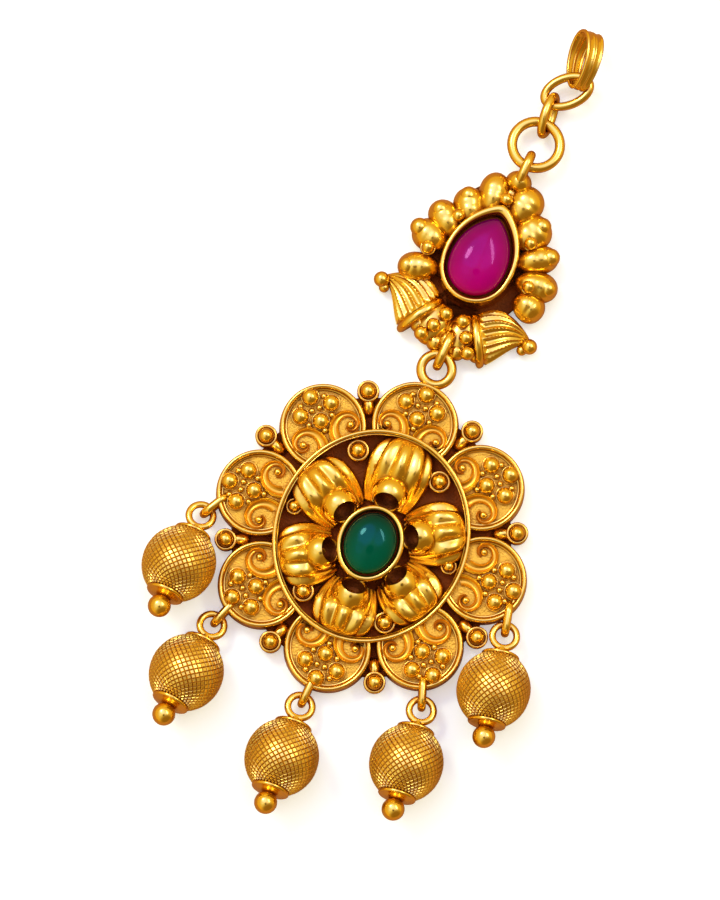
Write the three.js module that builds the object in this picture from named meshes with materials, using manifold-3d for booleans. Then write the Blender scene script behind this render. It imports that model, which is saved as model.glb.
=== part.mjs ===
// A maang tikka, the gold ornament that hangs on the forehead, lying face up as on a table.
// Millimetres. +Z is up from the table, +Y runs along the piece from the drops to the hook.
// The origin is the middle of the medallion's flat back, which lies on the table.

import * as THREE from 'three';
import { mergeVertices } from 'three/addons/utils/BufferGeometryUtils.js';
import Module from 'manifold-3d';

const wasm = await Module();
wasm.setup();

const { degToRad } = THREE.MathUtils;
const quarter = Math.PI / 2;

// Shared sizes
const plate = 0.8; // thickness of both back plates
const solder = 0.1; // how far soldered pieces sink into each other
const seatGap = 0.25; // round a stone in its bezel, and under it
const linkGap = 0.16; // between one link and the next, where it hangs
const linkPlay = 0.22; // sideways play of a wire in the loop that it runs through

// Medallion, scallops
const scallops = 8;
const scallopOrbit = 12.35; // middle of the medallion to the middle of a scallop
const scallopRadius = 4.44; // to the outside of the rim
const wallDraft = 0.16; // the wall is this much wider at the table
const fieldTop = 2.2; // the matte field inside the rim
const rimWidth = 0.46;
const rimRise = 0.42;
const grainRadius = 0.88; // the four large grains on a scallop
const grainOuter = 3.5; // the outermost grain, from the scallop's middle
const grainSide = 1.85;
const grainSpread = 2.35; // between the outermost grain and the innermost
const scrollWire = 0.4;
const scrollStart = 2.38; // distance of the scroll's tail from the eye of its spiral
const scrollShrink = 0.243; // the spiral shrinks by this power for each radian
const scrollTurn = 350; // degrees from the tail to the end of the volute
const scrollTail = -105; // bearing of the tail from the eye
const scrollEye = new THREE.Vector2(-0.95, 2.6); // from the scallop's middle

// Medallion, oval ring and what stands round it
const ringHalfWide = 10.1;
const ringHalfLong = 11.15;
const ringWire = 0.6;
const ringTop = 2.9;
const cupRadius = 1.15; // collar of a single grain
const cupTop = 2.0;
const cupGrain = 0.74;
const sideCupRadius = 0.82; // the two grains left and right inside the ring
const outerCupOrbit = 15.04;

// Medallion, flower and bezel
const flowerShift = [0.2, -0.85]; // the flower and its stone sit low in the ring
const petals = 6;
const petalHalfWidth = 3.25;
const petalHeight = 3.45;
const petalRibs = 5;
const ribDepth = 0.1;
const petalBase = 1.0;
const knuckleRadius = 1.65; // the hollow ball at the petal's inner end
const knuckleBore = 1.12;
const knuckleHigh = 2.55;
const knuckleShift = 0.9 * knuckleRadius; // middle of the ball outside the bezel
const boreTilt = 52; // degrees from upright, towards the stone
const petalStart = 0.3; // the petal's hidden inner end outside the bezel
const emeraldHalfWide = 2.65;
const emeraldHalfLong = 3.2;
const emeraldSeat = 3.6;
const emeraldDome = 2.1;
const bezelWall = 0.5;
const bezelRise = 1.0; // bezel's lip above the stone's seat

// Loops and the ring that joins the medallion to the plaque
const loopWire = 0.4; // half the wire of a drop's loop
const loopReach = 0.95; // straight legs outside the scallop's wall
const topRingRadius = 1.6;
const topRingWire = 0.5;
const joinHeight = 1.75;
const hangWire = 0.48; // half the wire of the plaque's own loops

// Plaque
const plaqueTurn = -3.5; // it hangs a little askew
const pearShift = [-0.6, 9.6]; // round end of the pear from the lower loop's hole
const rubyRadius = 3.05;
const pearFlank = 59.3; // where the round end turns into the flanks, from the tip
const pearTip = 0.08; // softness of the tip, in radians
const rubySeat = 2.5;
const rubyDome = 2.5;
const rubyBezelWall = 0.55;
const rubyBezelRise = 1.35;
const plaquePlate = 5.7; // round end of the plaque's own back plate
const apronRadius = 3.4; // the rest of that plate, under the clusters
const apronDown = 6.0;
const rubyBezelFlare = 0.35; // its wall is this much wider at the plate
const hornLength = 5.3;
const hornHalfWidth = 2.45;
const hornHeight = 2.7;
const hornRibs = 5;
const hornBead = 0.82;
const hornSmallBead = 0.55;
const hornFoot = new THREE.Vector2(3.35, -6.3); // middle of the right horn's mouth
const hornTurn = 21.5; // its heading, in degrees from +X
const hornBow = 0.5; // how far it bows towards the pear
const clusterSize = [1.75, 2.3, 1.55]; // half sizes of the plump heap under each cluster
const clusterPlace = [1.65, -6.9];
const smallGrain = 0.7;
const smallGrainHigh = 2.6;
const bossSize = [1.3, 1.1, 1.75];
const topBoss = new THREE.Vector2(0.3, 10.2);
const lowerLoopLegs = 2.2;
const topLoopLegs = 1.6;
const topLoopAhead = 1.8; // middle of the top loop's bend from the boss
const topLoopHeight = 2.2;

// Chain
const jumpRadius = 2.5;
const jumpWire = 0.53;
const linkWire = 0.46;
const lowerHalfLong = 2.08;
const lowerLean = 20; // degrees that the standing link leans to the left
const upperHalfLong = 2.45;
const upperRise = 7; // degrees that the lying link rises towards the hook
const bailHalfLong = 3.05;
const bailBand = 2.0; // width of its ribbon at the far end, and at the chain
const bailBandNear = 1.1;
const bailSlack = 0.8; // how far the bail sits back from the wire that it hangs on
const bailThickness = 0.3;
const bailTaper = 0.12; // share by which the bail narrows towards the chain
const bailLean = 18; // degrees that the standing bail leans to the right

// Headings of the chain on the table, in degrees from +X
const chainRoute = { jump: 87, lower: 92.4, upper: 40.4, bail: 98 };
const upperHookedAt = 228; // where on the lying link the standing link holds it
const bailHookedAt = 60; // where on the lying link the bail hangs

// Drops
const ballRadius = 3.85;
const ballHalfLong = 4.1;
const capRadius = 1.8;
const capHeight = 0.4;
const endBead = 1.25;
const dropRing = 1.26;
const dropRingWire = 0.33;
const dropReach = 6.2; // middle of the ball to the middle of its ring
const endReach = 5.15; // middle of the ball to the middle of its end bead

// Each drop: its scallop, the foot of its loop on that scallop, the loop's heading and the drop's heading,
// all in degrees from +X, and the height of the loop's hole over the lowest it could stand
const drops = [
  { scallop: 180, foot: 214, loop: 240, hang: 268, lift: 0.0 },
  { scallop: 225, foot: 237, loop: 249, hang: 264, lift: 0.0 },
  { scallop: 270, foot: 266, loop: 266, hang: 272, lift: 0.1 },
  { scallop: 315, foot: 295, loop: 288, hang: 275, lift: 0.3 },
  { scallop: 0, foot: 326, loop: 282, hang: 279, lift: 0.5 },
];

// Plaque's plump lobes: bearing from the pear's round end, reach, half length, half width,
// and the reach of the knob on the lobe's outer end, or 0
const lobes = [
  { bearing: 202, reach: 6.2, long: 1.9, wide: 1.25, knob: 7.2 },
  { bearing: 168, reach: 6.1, long: 1.75, wide: 1.35, knob: 7.4 },
  { bearing: 145, reach: 6.3, long: 1.95, wide: 1.3, knob: 7.3 },
  { bearing: 120, reach: 6.8, long: 1.85, wide: 1.35, knob: 7.8 },
  { bearing: 101, reach: 8.3, long: 2.1, wide: 1.3, knob: 0 },
  { bearing: 77, reach: 8.6, long: 1.95, wide: 1.5, knob: 0 },
  { bearing: 57, reach: 7.1, long: 1.95, wide: 1.55, knob: 8.3 },
  { bearing: 33, reach: 6.7, long: 2.0, wide: 1.2, knob: 8.0 },
  { bearing: 9, reach: 6.8, long: 2.0, wide: 1.3, knob: 7.9 },
  { bearing: -11, reach: 7.0, long: 1.55, wide: 1.3, knob: 0 },
];
const lobeHeight = 1.65;
const knobRadius = 0.85;

// Small grains between the lobes, and the two clusters of three between the horns
const lobeGrains = [
  { x: -5.4, y: -0.1 },
  { x: -3.9, y: 4.2 },
  { x: -0.1, y: 7.8 },
  { x: 4.1, y: 4.7 },
  { x: 5.8, y: 0.5 },
];
const clusterGrains = [
  { x: -0.8, y: -5.6 },
  { x: 1.1, y: -5.6 },
  { x: -1.5, y: -7.2 },
  { x: 2.1, y: -7.0 },
  { x: -2.3, y: -8.5 },
  { x: 2.9, y: -8.4 },
];

// Half sections along a petal and along a horn: share of the length, share of the half width
const petalSections = [
  { along: 0, wide: 0.68 },
  { along: 0.22, wide: 0.87 },
  { along: 0.5, wide: 1.0 },
  { along: 0.76, wide: 0.92 },
  { along: 0.93, wide: 0.58 },
];
const hornSections = [
  { along: 0, wide: 1.08 },
  { along: 0.14, wide: 1.08 },
  { along: 0.16, wide: 0.95 },
  { along: 0.5, wide: 0.82 },
  { along: 0.8, wide: 0.46 },
];

const gold = { color: 0xe3a332, roughness: 0.24, metalness: 1 };
const emerald = { color: 0x04593f, roughness: 0.08, metalness: 0 };
const ruby = { color: 0xa8045c, roughness: 0.08, metalness: 0 };

// Solids and meshes

function signedVolume(points, triangles) {
  let sum = 0;
  const [a, b, c] = [new THREE.Vector3(), new THREE.Vector3(), new THREE.Vector3()];
  for (let i = 0; i < triangles.length; i += 3) {
    a.fromArray(points, 3 * triangles[i]);
    b.fromArray(points, 3 * triangles[i + 1]);
    c.fromArray(points, 3 * triangles[i + 2]);
    sum += a.dot(b.cross(c)) / 6;
  }
  return sum;
}

function solidOf(geometry) {
  const bare = new THREE.BufferGeometry();
  bare.setAttribute('position', geometry.getAttribute('position').clone());
  if (geometry.index) bare.setIndex(geometry.index.clone());
  const merged = mergeVertices(bare, 1e-4);
  const corners = merged.index.array;
  const triangles = [];
  for (let i = 0; i < corners.length; i += 3) {
    const [a, b, c] = corners.slice(i, i + 3);
    if (a !== b && b !== c && c !== a) triangles.push(a, b, c);
  }
  const points = Float32Array.from(merged.getAttribute('position').array);
  if (signedVolume(points, triangles) < 0) triangles.reverse();
  const triVerts = Uint32Array.from(triangles);
  return new wasm.Manifold(new wasm.Mesh({ numProp: 3, vertProperties: points, triVerts }));
}

function join(geometries) {
  return geometries.map(solidOf).reduce((sum, next) => sum.add(next));
}

function geometryOf(solid) {
  const { vertProperties, triVerts } = solid.getMesh();
  const geometry = new THREE.BufferGeometry();
  geometry.setAttribute('position', new THREE.BufferAttribute(vertProperties, 3));
  geometry.setIndex(new THREE.BufferAttribute(triVerts, 1));
  geometry.computeVertexNormals();
  return geometry;
}

function meshOf(name, solid, finish) {
  const mesh = new THREE.Mesh(geometryOf(solid), new THREE.MeshStandardMaterial(finish));
  mesh.name = name;
  return mesh;
}

// Shapes

function reshape(geometry, change) {
  const position = geometry.getAttribute('position');
  const point = new THREE.Vector3();
  for (let i = 0; i < position.count; i += 1) {
    point.fromBufferAttribute(position, i);
    change(point);
    position.setXYZ(i, point.x, point.y, point.z);
  }
  return geometry;
}

function turned(profile, segments) {
  const points = profile.map(([radius, height]) => new THREE.Vector2(radius, height));
  return new THREE.LatheGeometry(points, segments).rotateX(quarter);
}

// Moves each point of a turned shape in or out, to the radius that an outline has in its direction.
function follow(geometry, outline) {
  return reshape(geometry, (point) => {
    const radius = Math.hypot(point.x, point.y);
    if (radius < 1e-6) return;
    const scale = outline(Math.atan2(point.y, point.x), radius) / radius;
    point.x *= scale;
    point.y *= scale;
  });
}

function ellipse(angle, halfX, halfY) {
  return (halfX * halfY) / Math.hypot(halfY * Math.cos(angle), halfX * Math.sin(angle));
}

function ball(radius, x, y, z, sides = 6, rings = 4) {
  return new THREE.SphereGeometry(radius, sides, rings).rotateX(quarter).translate(x, y, z);
}

function away(bearing, distance) {
  const angle = degToRad(bearing);
  return new THREE.Vector2(distance * Math.cos(angle), distance * Math.sin(angle));
}

// A closed wire ring with straight legs: its far bend is round the origin, towards +X, and it stands on edge.
function hairpin(bend, wire, legs, sides, segments) {
  const ring = new THREE.TorusGeometry(bend, wire, sides, segments).rotateX(quarter);
  return reshape(ring, (point) => {
    if (point.x < -1e-6) point.x -= legs;
  });
}

// A plump shell with lengthwise ribs, along +X from the origin, its underside pressed flat.
function ribbedShell(sections, length, halfWidth, height, ribs, sunk) {
  const points = sections.map(({ along, wide }) => new THREE.Vector2(wide * halfWidth, along * length));
  points.unshift(new THREE.Vector2(0, 0));
  points.push(new THREE.Vector2(0, length));
  const above = 2 * ribs;
  const around = above + 4;
  return reshape(new THREE.LatheGeometry(points, around), (point) => {
    const radius = Math.hypot(point.x, point.z);
    const step = Math.round((Math.atan2(point.x, point.z) * around) / (2 * Math.PI) + around) % around;
    const ridge = step % 2 === 1 || step > above;
    const reach = ridge ? radius : radius * (1 - ribDepth);
    const turn = step <= above ? (Math.PI * step) / above : Math.PI + (Math.PI * (step - above)) / 4;
    const up = reach * Math.sin(turn);
    point.set(point.y, reach * Math.cos(turn), up > 0 ? (up * height) / halfWidth : (up * sunk) / halfWidth);
  });
}

// Medallion

const scallopTop = fieldTop + rimRise;
const scallopReach = scallopOrbit + scallopRadius + wallDraft;
const ringStretch = ringHalfLong - ringHalfWide;
const ringOutline = (angle, radius) => ellipse(angle, radius, radius + ringStretch);

function scallopBody() {
  const inner = scallopRadius - rimWidth;
  return turned([
    [0, 0],
    [scallopRadius + wallDraft, 0],
    [scallopRadius, scallopTop],
    [inner, scallopTop],
    [inner, fieldTop],
    [0, fieldTop],
  ], 16);
}

class Scroll extends THREE.Curve {
  constructor(side) {
    super();
    this.side = side;
  }

  getPoint(share, target = new THREE.Vector3()) {
    const turn = degToRad(scrollTurn) * share;
    const reach = scrollStart * Math.exp(-scrollShrink * turn);
    const angle = turn + degToRad(scrollTail);
    const x = scrollEye.x + reach * Math.cos(angle);
    const y = scrollEye.y + reach * Math.sin(angle);
    return target.set(x, this.side * y, fieldTop + 0.1 * scrollWire);
  }
}

function scrollRidge(side) {
  const section = new THREE.Shape();
  const half = scrollWire / 2;
  section.moveTo(half, 0).lineTo(-half, half).lineTo(-half, -half).closePath();
  const options = { steps: 7, bevelEnabled: false, extrudePath: new Scroll(side) };
  return new THREE.ExtrudeGeometry(section, options);
}

function scallopRelief() {
  const nearest = grainOuter - grainSpread;
  const middle = grainOuter - 0.6 * grainSpread;
  const high = fieldTop + 0.1 * grainRadius;
  return [
    ball(grainRadius, grainOuter, 0, high),
    ball(grainRadius, nearest, 0, high),
    ball(grainRadius, middle, grainSide, high),
    ball(grainRadius, middle, -grainSide, high),
    scrollRidge(1),
    scrollRidge(-1),
  ];
}

function scallopRing() {
  const one = geometryOf(join([scallopBody(), ...scallopRelief()]));
  const copies = [];
  for (let i = 0; i < scallops; i += 1) {
    copies.push(one.clone().translate(scallopOrbit, 0, 0).rotateZ((i * 2 * Math.PI) / scallops));
  }
  return join(copies);
}

function ovalWell() {
  const wide = ringHalfWide - ringWire / 2;
  const high = 4 * fieldTop;
  return follow(turned([[0, plate], [wide, plate], [wide, high], [0, high]], 32), ringOutline);
}

function ovalRing() {
  const inner = ringHalfWide - ringWire;
  return follow(turned([
    [inner, plate / 2],
    [ringHalfWide, plate / 2],
    [ringHalfWide, ringTop],
    [inner, ringTop],
    [inner, plate / 2],
  ], 32), ringOutline);
}

function collaredGrain(collar, x, y) {
  const grain = Math.min(cupGrain, 0.8 * collar);
  const top = cupTop + 1.25 * grain;
  return turned([
    [0, 0],
    [collar, 0],
    [collar, cupTop],
    [grain, cupTop],
    [0.8 * grain, cupTop + 0.8 * grain],
    [0, top],
  ], 6).translate(x, y, 0);
}

function grainsRoundRing() {
  const grains = [];
  for (let i = 0; i < scallops; i += 1) {
    const place = away(((i + 0.5) * 360) / scallops, outerCupOrbit);
    grains.push(collaredGrain(cupRadius, place.x, place.y));
  }
  for (let i = 0; i < petals; i += 1) {
    const bearing = (i * 360) / petals;
    const collar = bearing % 180 === 0 ? sideCupRadius : cupRadius;
    const reach = ringOutline(degToRad(bearing), ringHalfWide - ringWire) - collar - solder;
    const place = away(bearing, reach);
    grains.push(collaredGrain(collar, place.x, place.y));
  }
  return grains;
}

// Distance from the flower's middle to the oval ring's inner face, in one direction.
function ringFromFlower(bearing) {
  const step = away(bearing, 1);
  const [halfX, halfY] = [ringHalfWide - ringWire, ringHalfLong - ringWire];
  const [startX, startY] = flowerShift;
  const a = (step.x / halfX) ** 2 + (step.y / halfY) ** 2;
  const b = (startX * step.x) / halfX ** 2 + (startY * step.y) / halfY ** 2;
  const c = (startX / halfX) ** 2 + (startY / halfY) ** 2 - 1;
  return (-b + Math.sqrt(b * b - a * c)) / a;
}

const emeraldStretch = emeraldHalfLong - emeraldHalfWide;
const emeraldOutline = (angle, radius) => (
  radius < emeraldHalfWide
    ? (radius / emeraldHalfWide) * ellipse(angle, emeraldHalfWide, emeraldHalfLong)
    : ellipse(angle, radius, radius + emeraldStretch)
);
const bezelOuter = emeraldHalfWide + seatGap + bezelWall;

function petalAt(bearing) {
  const bezel = emeraldOutline(degToRad(bearing), bezelOuter);
  const start = bezel + petalStart;
  const length = ringFromFlower(bearing) + solder - start;
  const sunk = petalBase - plate + solder;
  const body = ribbedShell(petalSections, length, petalHalfWidth, petalHeight, petalRibs, sunk)
    .translate(start, 0, petalBase);
  const middle = bezel + knuckleShift;
  const knuckle = ball(knuckleRadius, middle, 0, knuckleHigh, 10, 5);
  const bore = new THREE.CylinderGeometry(knuckleBore, knuckleBore, 2 * knuckleRadius, 8)
    .translate(0, knuckleRadius, 0)
    .rotateZ(degToRad(boreTilt))
    .rotateX(quarter)
    .translate(middle - 0.1 * knuckleRadius, 0, knuckleHigh - 0.15 * knuckleRadius);
  const petal = join([body, knuckle]).subtract(solidOf(bore));
  return geometryOf(petal).rotateZ(degToRad(bearing)).translate(...flowerShift, 0);
}

function emeraldBezel() {
  const inner = bezelOuter - bezelWall;
  const lip = emeraldSeat + bezelRise;
  return follow(turned([
    [0, plate / 2],
    [bezelOuter, plate / 2],
    [bezelOuter, lip],
    [inner, lip],
    [inner, emeraldSeat],
    [0, emeraldSeat],
  ], 20), emeraldOutline).translate(...flowerShift, 0);
}

const loopBend = loopWire + dropRingWire + linkPlay;
const loopHole = loopBend + loopWire;

function dropLoop({ scallop, foot, loop, lift }) {
  const place = away(scallop, scallopOrbit).add(away(foot, scallopRadius)).add(away(loop, loopReach));
  const wire = hairpin(loopBend, loopWire, loopReach + 2 * solder, 5, 10)
    .rotateZ(degToRad(loop))
    .translate(place.x, place.y, loopHole + lift);
  return { place, wire };
}

const topRingMiddle = scallopReach + topRingRadius;

function medallion() {
  const discRadius = outerCupOrbit - cupRadius / 2;
  const disc = turned([[0, 0], [discRadius, 0], [discRadius, plate], [0, plate]], 16);
  const parts = [disc, ovalRing(), emeraldBezel(), ...grainsRoundRing()];
  for (let i = 0; i < petals; i += 1) parts.push(petalAt(90 + (i * 360) / petals));
  for (const drop of drops) parts.push(dropLoop(drop).wire);
  const topRing = new THREE.TorusGeometry(topRingRadius, topRingWire, 5, 12);
  parts.push(topRing.translate(0, topRingMiddle, joinHeight));
  return scallopRing().subtract(solidOf(ovalWell())).add(join(parts));
}

// Stones: a low girdle and a round dome over the same outline
function cabochon(radius, seat, girdle, dome, outline, segments) {
  const base = seat + seatGap;
  const profile = [[0, base], [radius, base], [radius, base + girdle]];
  const rings = 4;
  for (let i = 1; i < rings; i += 1) {
    const angle = (quarter * i) / rings;
    profile.push([radius * Math.cos(angle), base + girdle + (dome - girdle) * Math.sin(angle)]);
  }
  profile.push([0, base + dome]);
  return follow(turned(profile, segments), outline);
}

// Plaque, in its own frame: the origin is the round end of the pear, +Y runs to its tip

function pearOutline(angle, radius) {
  let fromTip = Math.abs(angle - quarter);
  if (fromTip > Math.PI) fromTip = 2 * Math.PI - fromTip;
  return radius / Math.cos(Math.max(degToRad(pearFlank) - Math.hypot(fromTip, pearTip), 0));
}

const rubyBezelOuter = rubyRadius + seatGap + rubyBezelWall;

function rubyBezel() {
  const inner = rubyBezelOuter - rubyBezelWall;
  const lip = rubySeat + rubyBezelRise;
  return follow(turned([
    [0, plate / 2],
    [rubyBezelOuter + rubyBezelFlare, plate / 2],
    [rubyBezelOuter, lip],
    [inner, lip],
    [inner, rubySeat],
    [0, rubySeat],
  ], 24), pearOutline);
}

function lobe({ bearing, reach, long, wide, knob }) {
  const place = away(bearing, reach);
  const shapes = [
    new THREE.SphereGeometry(1, 8, 5)
      .rotateX(quarter)
      .scale(long, wide, lobeHeight)
      .rotateZ(degToRad(bearing))
      .translate(place.x, place.y, lobeHeight),
  ];
  if (knob > 0) {
    const end = away(bearing, knob);
    shapes.push(ball(knobRadius, end.x, end.y, 1.5 * lobeHeight));
  }
  return shapes;
}

function horn(side) {
  const body = ribbedShell(hornSections, hornLength, hornHalfWidth, hornHeight, hornRibs, plate - solder);
  reshape(body, (point) => {
    point.y += hornBow * Math.sin((Math.PI * point.x) / hornLength);
  });
  const tip = hornLength + 0.5 * hornBead;
  const shapes = [
    body.translate(0, 0, plate),
    ball(hornBead, tip, -0.35, 1.6 * hornBead, 8, 5),
    ball(hornSmallBead, tip - 0.8, -1.1, 1.6 * hornSmallBead),
  ];
  for (const shape of shapes) {
    shape.rotateZ(degToRad(hornTurn)).translate(hornFoot.x, hornFoot.y, 0);
    if (side < 0) shape.scale(-1, 1, 1);
  }
  return shapes;
}

function cluster(side) {
  return new THREE.SphereGeometry(1, 8, 5)
    .rotateX(quarter)
    .scale(...clusterSize)
    .translate(side * clusterPlace[0], clusterPlace[1], clusterSize[2]);
}

const hangBend = hangWire + Math.max(topRingWire, jumpWire) + linkPlay;
const lowerHole = new THREE.Vector2(-pearShift[0], -pearShift[1]);
const upperHole = new THREE.Vector2(topBoss.x, topBoss.y + topLoopAhead);

function plaqueLoop(place, bearing, legs, height) {
  return hairpin(hangBend, hangWire, legs, 5, 12).rotateZ(degToRad(bearing)).translate(place.x, place.y, height);
}

function plaque() {
  const backPlate = follow(turned([[0, 0], [plaquePlate, 0], [plaquePlate, plate], [0, plate]], 24), pearOutline);
  const apron = turned([[0, 0], [apronRadius, 0], [apronRadius, plate], [0, plate]], 12)
    .translate(0, -apronDown, 0);
  const boss = new THREE.SphereGeometry(1, 8, 5).rotateX(quarter).scale(...bossSize);
  const parts = [backPlate, apron, rubyBezel(), boss.translate(topBoss.x, topBoss.y, bossSize[2])];
  for (const row of lobes) parts.push(...lobe(row));
  for (const { x, y } of lobeGrains) parts.push(ball(smallGrain, x, y, smallGrainHigh));
  for (const { x, y } of clusterGrains) parts.push(ball(smallGrain, x, y, smallGrainHigh));
  for (const side of [1, -1]) parts.push(...horn(side), cluster(side));
  parts.push(plaqueLoop(lowerHole, -90, lowerLoopLegs, joinHeight));
  parts.push(plaqueLoop(upperHole, 90, topLoopLegs, topLoopHeight));
  return join(parts);
}

// Chain, each link from the point where it hangs on the one before

const lowerHalfShort = linkWire + jumpWire + linkPlay;
const upperHalfShort = linkWire + bailBandNear / 2 + linkPlay;
const bailNarrow = linkWire + bailThickness / 2 + 2.4 * linkPlay;
const bailHalfShort = bailNarrow / (1 - bailTaper);

// Two round ends joined by straight sides: the halves of a round ring, moved apart.
function stretch(geometry, shift) {
  return reshape(geometry, (point) => {
    point.x += point.x < -1e-6 ? -shift : shift;
  });
}

function ovalLink(halfLong, halfShort) {
  return stretch(new THREE.TorusGeometry(halfShort, linkWire, 5, 14), halfLong - halfShort);
}

function bailRibbon() {
  const half = bailBand / 2;
  const rib = 0.75 * bailThickness;
  const profile = [[-0.5, -1], [0.5, -1], [0.5 + rib, -0.5], [0.5, 0], [0.5 + rib, 0.5], [0.5, 1], [-0.5, 1], [-0.5, -1]];
  const ring = turned(profile.map(([out, across]) => [bailHalfShort + out * bailThickness, across * half]), 18);
  return reshape(stretch(ring, bailHalfLong - bailHalfShort), (point) => {
    const toFar = (1 + point.x / bailHalfLong) / 2;
    point.y *= 1 + bailTaper * (2 * toFar - 1);
    point.z *= THREE.MathUtils.lerp(bailBandNear / bailBand, 1, toFar);
  });
}

function placed(mesh, x, y, z, heading, roll = 0, pitch = 0) {
  mesh.rotation.set(degToRad(roll), degToRad(pitch), degToRad(heading), 'ZYX');
  mesh.position.set(x, y, z);
  return mesh;
}

function chain(start) {
  const jumpTurn = chainRoute.jump;
  const standHeight = lowerHalfShort * Math.cos(degToRad(lowerLean)) + linkWire;
  const ringFall = Math.asin((start.z - standHeight) / (2 * jumpRadius));
  const ringMiddle = away(jumpTurn, jumpRadius * Math.cos(ringFall)).add(start);
  const jump = meshOf('jump_ring', solidOf(new THREE.TorusGeometry(jumpRadius, jumpWire, 6, 16)), gold);
  placed(jump, ringMiddle.x, ringMiddle.y, (start.z + standHeight) / 2, jumpTurn, 0, (ringFall * 180) / Math.PI);

  const ringFar = away(jumpTurn, jumpRadius * Math.cos(ringFall)).add(ringMiddle);
  const lowerBack = linkWire + jumpWire + linkGap;
  const lowerMiddle = away(chainRoute.lower, lowerHalfLong - lowerBack).add(ringFar);
  const lower = meshOf('chain_link_lower', solidOf(ovalLink(lowerHalfLong, lowerHalfShort)), gold);
  placed(lower, lowerMiddle.x, lowerMiddle.y, standHeight, chainRoute.lower, 90 - lowerLean);

  const lowerFar = away(chainRoute.lower, lowerHalfLong - 2 * linkWire - linkGap).add(lowerMiddle);
  const upperPoint = (at) => {
    const angle = degToRad(at);
    const shift = Math.sign(Math.cos(angle)) * (upperHalfLong - upperHalfShort);
    const along = shift + upperHalfShort * Math.cos(angle);
    const flat = new THREE.Vector2(along * Math.cos(degToRad(upperRise)), upperHalfShort * Math.sin(angle));
    return { flat: flat.rotateAround(new THREE.Vector2(), degToRad(chainRoute.upper)), along };
  };
  const held = upperPoint(upperHookedAt);
  const rise = Math.sin(degToRad(upperRise));
  const upperHeight = standHeight - held.along * rise;
  const upperMiddle = lowerFar.clone().sub(held.flat);
  const upper = meshOf('chain_link_upper', solidOf(ovalLink(upperHalfLong, upperHalfShort)), gold);
  placed(upper, upperMiddle.x, upperMiddle.y, upperHeight, chainRoute.upper, 0, -upperRise);

  const hooked = upperPoint(bailHookedAt);
  const bailBack = linkWire + bailThickness / 2 + bailSlack;
  const bailMiddle = away(chainRoute.bail, bailHalfLong - bailBack).add(upperMiddle).add(hooked.flat);
  const bail = meshOf('hook_bail', solidOf(bailRibbon()), gold);
  const bailTall = (bailHalfShort + bailThickness) * (1 + bailTaper) * Math.cos(degToRad(bailLean));
  const bailHeight = bailTall + (bailBand / 2) * Math.sin(degToRad(bailLean)) + linkGap;
  placed(bail, bailMiddle.x, bailMiddle.y, bailHeight, chainRoute.bail, 90 + bailLean);
  return [jump, lower, upper, bail];
}

// Drops, each along +Y from its end bead to its ring, round the middle of its ball

function ballProfile(startRadius, endRadius, rows) {
  const start = -Math.acos(startRadius / ballRadius);
  const end = Math.acos(endRadius / ballRadius);
  const points = [];
  for (let i = 0; i <= rows; i += 1) {
    const angle = start + ((end - start) * i) / rows;
    points.push([ballRadius * Math.cos(angle), ballHalfLong * Math.sin(angle)]);
  }
  return points;
}

function dropSolid() {
  const capFoot = ballHalfLong * Math.sqrt(1 - (capRadius / ballRadius) ** 2);
  const capTop = ballHalfLong + capHeight / 3;
  const neck = dropReach - dropRing;
  const profile = [[0, -endReach - endBead]];
  for (const share of [-0.7, 0, 0.7]) {
    profile.push([endBead * Math.sqrt(1 - share * share), -endReach + share * endBead]);
  }
  profile.push([0.75 * capRadius, -capTop], [capRadius, -capFoot - 0.4 * capHeight]);
  profile.push(...ballProfile(capRadius, capRadius, 5));
  profile.push([capRadius, capFoot + 0.4 * capHeight], [0.75 * capRadius, capTop]);
  profile.push([1.4 * dropRingWire, capTop + 0.1], [1.1 * dropRingWire, neck], [0, neck]);
  const points = profile.map(([radius, height]) => new THREE.Vector2(radius, height));
  const body = new THREE.LatheGeometry(points, 12);
  const ring = new THREE.TorusGeometry(dropRing, dropRingWire, 5, 9).translate(0, dropReach, 0);
  return join([body, ring]);
}

function dropMesh(row, index) {
  const { place } = dropLoop(row);
  const ringMiddle = away(row.loop, dropRing).add(place);
  const swing = Math.cos(degToRad(row.hang - row.loop));
  const hole = loopHole + row.lift;
  const tilt = Math.asin((ballRadius - hole) / (dropReach + dropRing * swing));
  const middle = away(row.hang, dropReach * Math.cos(tilt)).add(ringMiddle);
  const rest = Math.hypot(ballRadius * Math.cos(tilt), ballHalfLong * Math.sin(tilt));
  const mesh = meshOf(`bead_drop_${index + 1}`, dropSolid(), gold);
  return placed(mesh, middle.x, middle.y, rest, row.hang + 90, (-tilt * 180) / Math.PI);
}

// Assembly

const tikka = new THREE.Group();
tikka.name = 'maang_tikka';
tikka.add(meshOf('medallion', medallion(), gold));

const emeraldShape = cabochon(emeraldHalfWide, emeraldSeat, 0.45, emeraldDome, emeraldOutline, 20);
tikka.add(meshOf('emerald_cabochon', solidOf(emeraldShape.translate(...flowerShift, 0)), emerald));

const plaqueGroup = new THREE.Group();
plaqueGroup.position.set(0, topRingMiddle + topRingRadius, 0);
plaqueGroup.rotation.z = degToRad(plaqueTurn);
const plaqueMeshes = [
  meshOf('upper_plaque', plaque(), gold),
  meshOf('ruby_cabochon', solidOf(cabochon(rubyRadius, rubySeat, 0.5, rubyDome, pearOutline, 24)), ruby),
];
for (const mesh of plaqueMeshes) {
  mesh.position.set(...pearShift, 0);
  plaqueGroup.add(mesh);
}
tikka.add(plaqueGroup);

const chainStart = new THREE.Vector3(upperHole.x + pearShift[0], upperHole.y + pearShift[1], topLoopHeight)
  .applyAxisAngle(new THREE.Vector3(0, 0, 1), degToRad(plaqueTurn))
  .add(plaqueGroup.position);
tikka.add(...chain(chainStart));
tikka.add(...drops.map(dropMesh));

export default tikka;
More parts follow.
